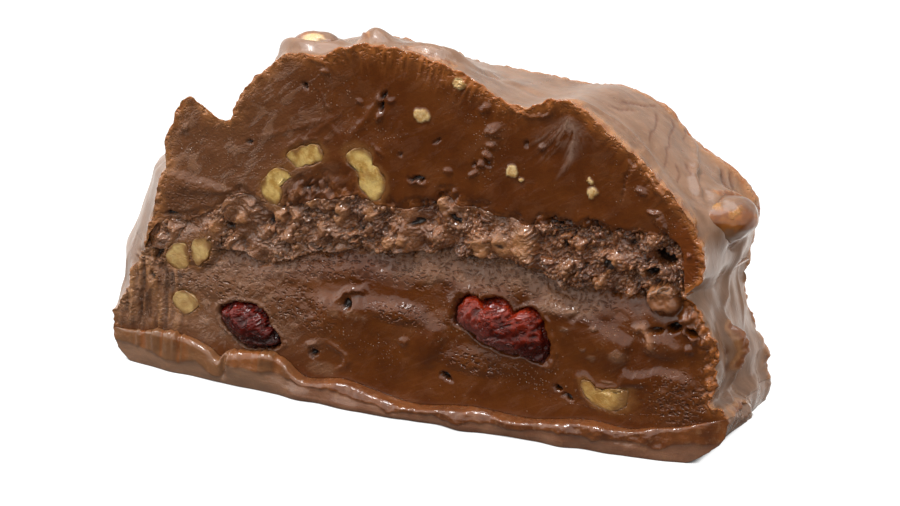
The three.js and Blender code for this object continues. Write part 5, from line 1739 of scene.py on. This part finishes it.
def fruit_relief(x, y, z, share, seed):
    """Ridges that wander along the fruit, with finer creases between them."""
    bend = 0.8 * noise(x / 3.1, y / 3.1, z / 3.1, seed)
    ridge = np.abs(noise((x + 0.5 * z) / 2.4 + bend, y / 2.0, (z - 0.3 * x) / 1.3 + bend,
                         seed + 1))
    fine = np.abs(noise(x / 1.1 + bend, y / 0.9, (z - 0.4 * x) / 0.55 + bend, seed + 2))
    tiny = np.abs(noise(x / 0.5, y / 0.4, (z - 0.4 * x) / 0.28, seed + 3))
    height = RIDGES * (0.42 - ridge) + CREASES * (0.35 - fine) + WRINKLES * (0.4 - tiny)
    # painted light on the ridges and the upper side, and painted sheen on the lower left side
    return height, {"crest": smooth(height + 0.1 * z, -0.1, 0.6),
                    "dull": smooth(-z - 0.45 * x - 1.6 * ridge, -0.6, 1.8)}


def cranberry_finish(name, deep, bright, dull):
    skin = Finish(name, roughness=0.22, coat=0.2, coat_roughness=0.05, specular=0.28,
                  subsurface=0.3, glow=(1.0, 0.2, 0.08), depth=1.2 * MM)
    # painted light: the ridges and the upper side are laid bright red over the folds' dark red
    skin.colour = skin.mix("crest", deep, bright)
    skin.lay(skin.times(skin.ramp(skin.noise(420.0, 4.0), 0.5, 0.72), 0.5), deep)
    # painted sheen: the lower side is laid mauve grey
    skin.lay(skin.times(skin.mask("dull"), 0.75), dull)
    folds = skin.noise(520.0, 2.0, Roughness=0.45, Distortion=1.4)
    away = skin.math("ABSOLUTE", skin.math("SUBTRACT", folds, 0.5))
    crease = skin.rest_of(skin.ramp(away, 0.0, 0.035))
    # painted shade: the creases are laid in the folds' dark red
    skin.lay(skin.times(crease, 0.6), deep)
    pores = skin.times(skin.noise(1700.0, 3.0), 0.6)
    skin.relief(skin.line(crease, -1.6, pores), 0.6, 0.3 * MM)
    return skin.made()


CRANBERRY_COLOURS = {  # in the folds, painted shade; on the ridges and the upper side, painted light; and the mauve painted sheen on the lower side
    "right": ((60, 9, 3), (132, 34, 8), (112, 60, 54)),
    "left": ((44, 7, 4), (104, 18, 6), (74, 28, 22)),
}
for side, reds in CRANBERRY_COLOURS.items():
    lump_mesh("fruit_" + side, CRANBERRIES["cranberry_" + side], "cranberry_" + side,
              cranberry_finish("cranberry skin " + side, *reds), fruit_relief, 6,
              FRUIT_ROUNDNESS)

# ================ WALNUTS ================
# Chopped walnut, cut through with the slice: dry pale-yellow flesh with a fibrous grain, its edges
# smeared over with fudge by the knife.
SMEAR_EDGE = 0.55  # of the way out, from which fudge covers a nut
FILMED_NUTS = ("walnut_4", "walnut_5", "walnut_6")
FILM = 0.45
STAINED_NUTS = {"walnut_7": 0.95, "walnut_6": 0.4, "walnut_2": 0.25}  # how browned they are


def nut_relief(nut_name):
    film, stain = FILM if nut_name in FILMED_NUTS else 0.0, STAINED_NUTS.get(nut_name, 0.0)

    def relief(x, y, z, share, seed):
        lumps = 0.22 * noise(x / 1.3, y / 1.3, z / 1.3, seed)
        lumps = lumps + 0.08 * noise(x / 0.5, y / 0.5, z / 0.5, seed + 1)
        patchy = rough(x + 3 * seed, z, 1.5, seed + 2, 3)
        return lumps, {"smear": smooth(share + 0.2 * patchy, SMEAR_EDGE, 0.94),
                       "stain": np.maximum(smooth(patchy, 0.35, 1.0), stain),
                       "film": np.full(x.shape, film)}
    return relief


def nut_front(x, z):
    """The knife's cut across a nut: nearly flat, torn into fibres."""
    fibres = noise((x + z) / 0.5, (z - x) / 1.6, 0, 95)
    return 0.12 + 0.12 * noise(x / 1.9, z / 1.9, 0, 96) + 0.05 * fibres


NUT_COLOURS = {
    "flesh": ((184, 140, 66), (222, 190, 118)), "stain": (150, 100, 48), "film": (176, 146, 106),
    "smear": (130, 88, 44),
}


def walnut_finish():
    flesh = Finish("walnut flesh", roughness=0.36, coat=0.25, coat_roughness=0.12, specular=0.4,
                   subsurface=0.3, glow=(1.0, 0.7, 0.3), depth=1.0 * MM)
    clouds = flesh.ramp(flesh.noise(700.0, 5.0, Roughness=0.65), 0.36, 0.64)
    flesh.colour = flesh.mix(clouds, *NUT_COLOURS["flesh"])
    flesh.lay(flesh.times(flesh.mask("stain"), 0.5), NUT_COLOURS["stain"])
    flesh.lay_masks(NUT_COLOURS, "film", "smear")
    flesh.relief(flesh.noise(2600.0, 4.0, Distortion=1.5), 0.45, 0.3 * MM)
    return flesh.made()


WALNUT_FLESH = walnut_finish()
for nut_name, nut in WALNUTS.items():
    lump_mesh("nut_" + nut_name[7:], nut, nut_name, WALNUT_FLESH, nut_relief(nut_name),
              5, NUT_ROUNDNESS, nut_front)

# ================ COATED WALNUTS ================
# Two walnut pieces that stand up under the smooth outside, one on top and one on the right side:
# the coat has run thin over them and their amber flesh shows through.
COATED_WALNUTS = {  # `amber` and `bare`: where the coat is thin or gone, on the nut, and its reach
    "walnut_top": dict(
        tilt=10, seed=28, finger=0.0, milky=1.0,
        amber=[((0.1, -0.5, 0.8), 0.7)],
        bare=[((0.3, -0.55, 0.75), 0.5)]),
    "walnut_side": dict(
        tilt=8, seed=29, finger=0.42, milky=0.0,
        amber=[((0.6, -0.75, 0.25), 0.75), ((-0.1, -0.95, 0.3), 0.6), ((0.9, -0.3, 0.1), 0.5)],
        bare=[((0.5, -0.6, 0.62), 0.3), ((-0.3, -0.8, 0.95), 0.42)]),
}
FINGER = (-0.38, -0.84, 0.39)  # which way a nut's longer end points
FINGER_SHARPNESS = 0.13


def coated_mesh(name, nut, node_name, material):
    (x, y, z), half_size = NUTS_UNDER_COAT[node_name]
    p, faces = ball(6)
    size = 1 + 0.08 * noise(*(1.6 * p.T), nut["seed"]) + 0.03 * noise(*(4 * p.T), nut["seed"])
    size = size + nut["finger"] * np.exp((p @ np.array(FINGER) - 1) / FINGER_SHARPNESS)
    unturned = p * np.array(half_size)
    turn = Matrix.Rotation(math.radians(-nut["tilt"]), 3, "Y")
    p = unturned * size[:, None] @ np.array(turn).T
    patchy = 0.16 * noise(*(p / 1.3).T, 98) + 0.08 * noise(*(p / 0.5).T, 99)

    def near(spots):
        found = [1 - smooth(np.linalg.norm(unturned / half_size - at, axis=1) + patchy,
                            0.45 * reach, reach) for at, reach in spots]
        return np.max(found, axis=0)

    masks = {"thin": near(nut["amber"]), "bare": near(nut["bare"]),
             "milky": np.full(len(p), nut["milky"])}
    put_mesh(name, p + (x, y - cut_bow(x, z), z), faces, masks, material, node_name)


COATED_NUT_COLOURS = {  # pairs: the darker and the paler clouds, or plain and milky flesh
    "coat": ((108, 74, 52), (124, 90, 66)), "thin": ((116, 62, 18), (146, 86, 30)),
    "bare": ((158, 106, 46), (200, 170, 124)),
}


def coated_finish():
    colours = COATED_NUT_COLOURS
    coat = Finish("coated walnut", roughness=0.3, coat=0.2, coat_roughness=0.08, specular=0.5,
                  subsurface=0.3, glow=(1.0, 0.5, 0.15), depth=1.5 * MM)
    clouds = coat.noise(300.0, 4.0)
    coat.colour = coat.mix(coat.ramp(clouds, 0.38, 0.62), *colours["coat"])
    coat.lay("thin", coat.mix(coat.ramp(clouds, 0.4, 0.6), *colours["thin"]))
    coat.lay("bare", coat.mix("milky", *colours["bare"]))
    rough_spots = coat.times(coat.noise(1900.0, 3.0), coat.mask("bare"))
    coat.relief(coat.line(clouds, 0.25, rough_spots), 0.6, 0.4 * MM)
    return coat.made()


COATED_NUT = coated_finish()
for nut_name, nut in COATED_WALNUTS.items():
    coated_mesh("coated_nut_" + nut_name[7:], nut, nut_name, COATED_NUT)

# ================ TABLE, LIGHT AND CAMERA ================
# A pale studio table under a wide overhead light, seen from a little above and to the right.
TABLE_SIZE = 3.0
TABLE_GREY = (0.1, 0.1, 0.1, 1)
CONTACT_SHADE, FULL_LIGHT = (0.02, 0.015, 0.01, 1), (1, 1, 1, 1)
SHADE_REACH = 1.3  # how far the painted shadow under the foot spreads, in mm
SEEN_NEAR, SEEN_FAR = (0.05, 0.045, 0.04, 1), (0.75, 0.72, 0.7, 1)  # the table in reflections


def table_finish():
    """Pale and even, with a painted contact shadow under the foot; shiny pieces see it dimmed, as the far
    edge of a small table top is.
    """
    material = bpy.data.materials.new("table")
    material.use_nodes = True
    top = Shading(material.node_tree)
    shader = top.tree.nodes["Principled BSDF"]
    shader.inputs["Base Color"].default_value = TABLE_GREY
    shader.inputs["Roughness"].default_value = 0.7
    shader.inputs["Emission Strength"].default_value = 1.0
    # painted shadow: the table's glow is darkened where the foot hides it from the open sky
    open_sky = top.add("ShaderNodeAmbientOcclusion", Distance=SHADE_REACH * MM).outputs["AO"]
    shade = top.mix(top.ramp(open_sky, 0.1, 0.62), CONTACT_SHADE, FULL_LIGHT)
    top.link(shade, shader.inputs["Emission Color"])
    depth = top.add("ShaderNodeSeparateXYZ", Vector=top.place).outputs["Y"]
    tint = top.mix(top.ramp(depth, -0.03, 0.05), SEEN_NEAR, SEEN_FAR)
    dim = top.add("ShaderNodeBsdfDiffuse", Color=tint).outputs[0]
    seen = top.add("ShaderNodeLightPath").outputs["Is Camera Ray"]
    chosen = top.tree.nodes.new("ShaderNodeMixShader")
    for socket, value in enumerate((seen, dim, shader.outputs[0])):
        top.link(value, chosen.inputs[socket])
    top.link(chosen.outputs[0], top.tree.nodes["Material Output"].inputs["Surface"])
    return material


half = TABLE_SIZE / 2
table_mesh = bpy.data.meshes.new("table")
corners = [(-half, -half, 0), (half, -half, 0), (half, half, 0), (-half, half, 0)]
table_mesh.from_pydata(corners, [], [(0, 1, 2, 3)])
table_mesh.materials.append(table_finish())
table = bpy.data.objects.new("table", table_mesh)
bpy.context.scene.collection.objects.link(table)


def soft_light(name, place, target, width, height, power):
    lamp = bpy.data.lights.new(name, "AREA")
    lamp.shape = "RECTANGLE"
    lamp.size, lamp.size_y, lamp.energy = width, height, power
    holder = bpy.data.objects.new(name, lamp)
    holder.location = place
    holder.rotation_euler = (Vector(target) - Vector(place)).to_track_quat("-Z", "Y").to_euler()
    bpy.context.scene.collection.objects.link(holder)


LIT_SPOT = (0, 0, 0.02)
soft_light("overhead", (0.02, 0.10, 0.45), LIT_SPOT, 0.40, 0.30, 1.25)
soft_light("key", (-0.09, -0.12, 0.48), LIT_SPOT, 0.12, 0.05, 1.3)

STUDIO_WALLS = (1, 0.98, 0.945, 1)
FLOOR_LIGHT, FRONT_LIGHT, BACK_LIGHT, LEFT_LIGHT = 0.06, 1.15, 0.75, 1.1  # strengths by direction
BACKDROP = 1.2  # strength where the camera sees the walls themselves
world = bpy.data.worlds.new("studio")
bpy.context.scene.world = world
world.use_nodes = True
sky = Nodes(world.node_tree)
background = sky.tree.nodes["Background"]
direction = sky.add("ShaderNodeTexCoord").outputs["Generated"]
parts = sky.add("ShaderNodeSeparateXYZ", Vector=direction).outputs
front = sky.add("ShaderNodeMapRange", Value=parts["Z"], From_Min=-0.02, From_Max=0.16,
                To_Min=FLOOR_LIGHT, To_Max=FRONT_LIGHT).outputs[0]
behind = sky.ramp(parts["Y"], -0.2, 0.5)
glow = sky.add("ShaderNodeMix", Factor=behind, A=front, B=BACK_LIGHT).outputs[0]
glow = sky.line(sky.ramp(parts["X"], -0.4, -0.9), LEFT_LIGHT, glow)
seen = sky.add("ShaderNodeLightPath").outputs["Is Camera Ray"]
background.inputs["Color"].default_value = STUDIO_WALLS
sky.link(sky.math("MAXIMUM", glow, sky.times(seen, BACKDROP)), background.inputs["Strength"])

CAMERA_AZIMUTH, CAMERA_HEIGHT = math.radians(24.0), math.radians(20.531)
CAMERA_DISTANCE, CAMERA_LENS, CAMERA_SENSOR = 376.57, 100, 36
CAMERA_TARGET = Vector((8.653 + SIDE_SHIFT, CUT_PLANE, 27.076))
towards = Vector((math.sin(CAMERA_AZIMUTH) * math.cos(CAMERA_HEIGHT),
                  -math.cos(CAMERA_AZIMUTH) * math.cos(CAMERA_HEIGHT), math.sin(CAMERA_HEIGHT)))
view = bpy.data.cameras.new("view")
view.lens, view.sensor_width = CAMERA_LENS, CAMERA_SENSOR
camera = bpy.data.objects.new("camera", view)
camera.location = (CAMERA_TARGET + towards * CAMERA_DISTANCE) * MM
camera.rotation_euler = (-towards).to_track_quat("-Z", "Y").to_euler()
bpy.context.scene.collection.objects.link(camera)
bpy.context.scene.camera = camera
bpy.context.scene.view_settings.view_transform = "Standard"
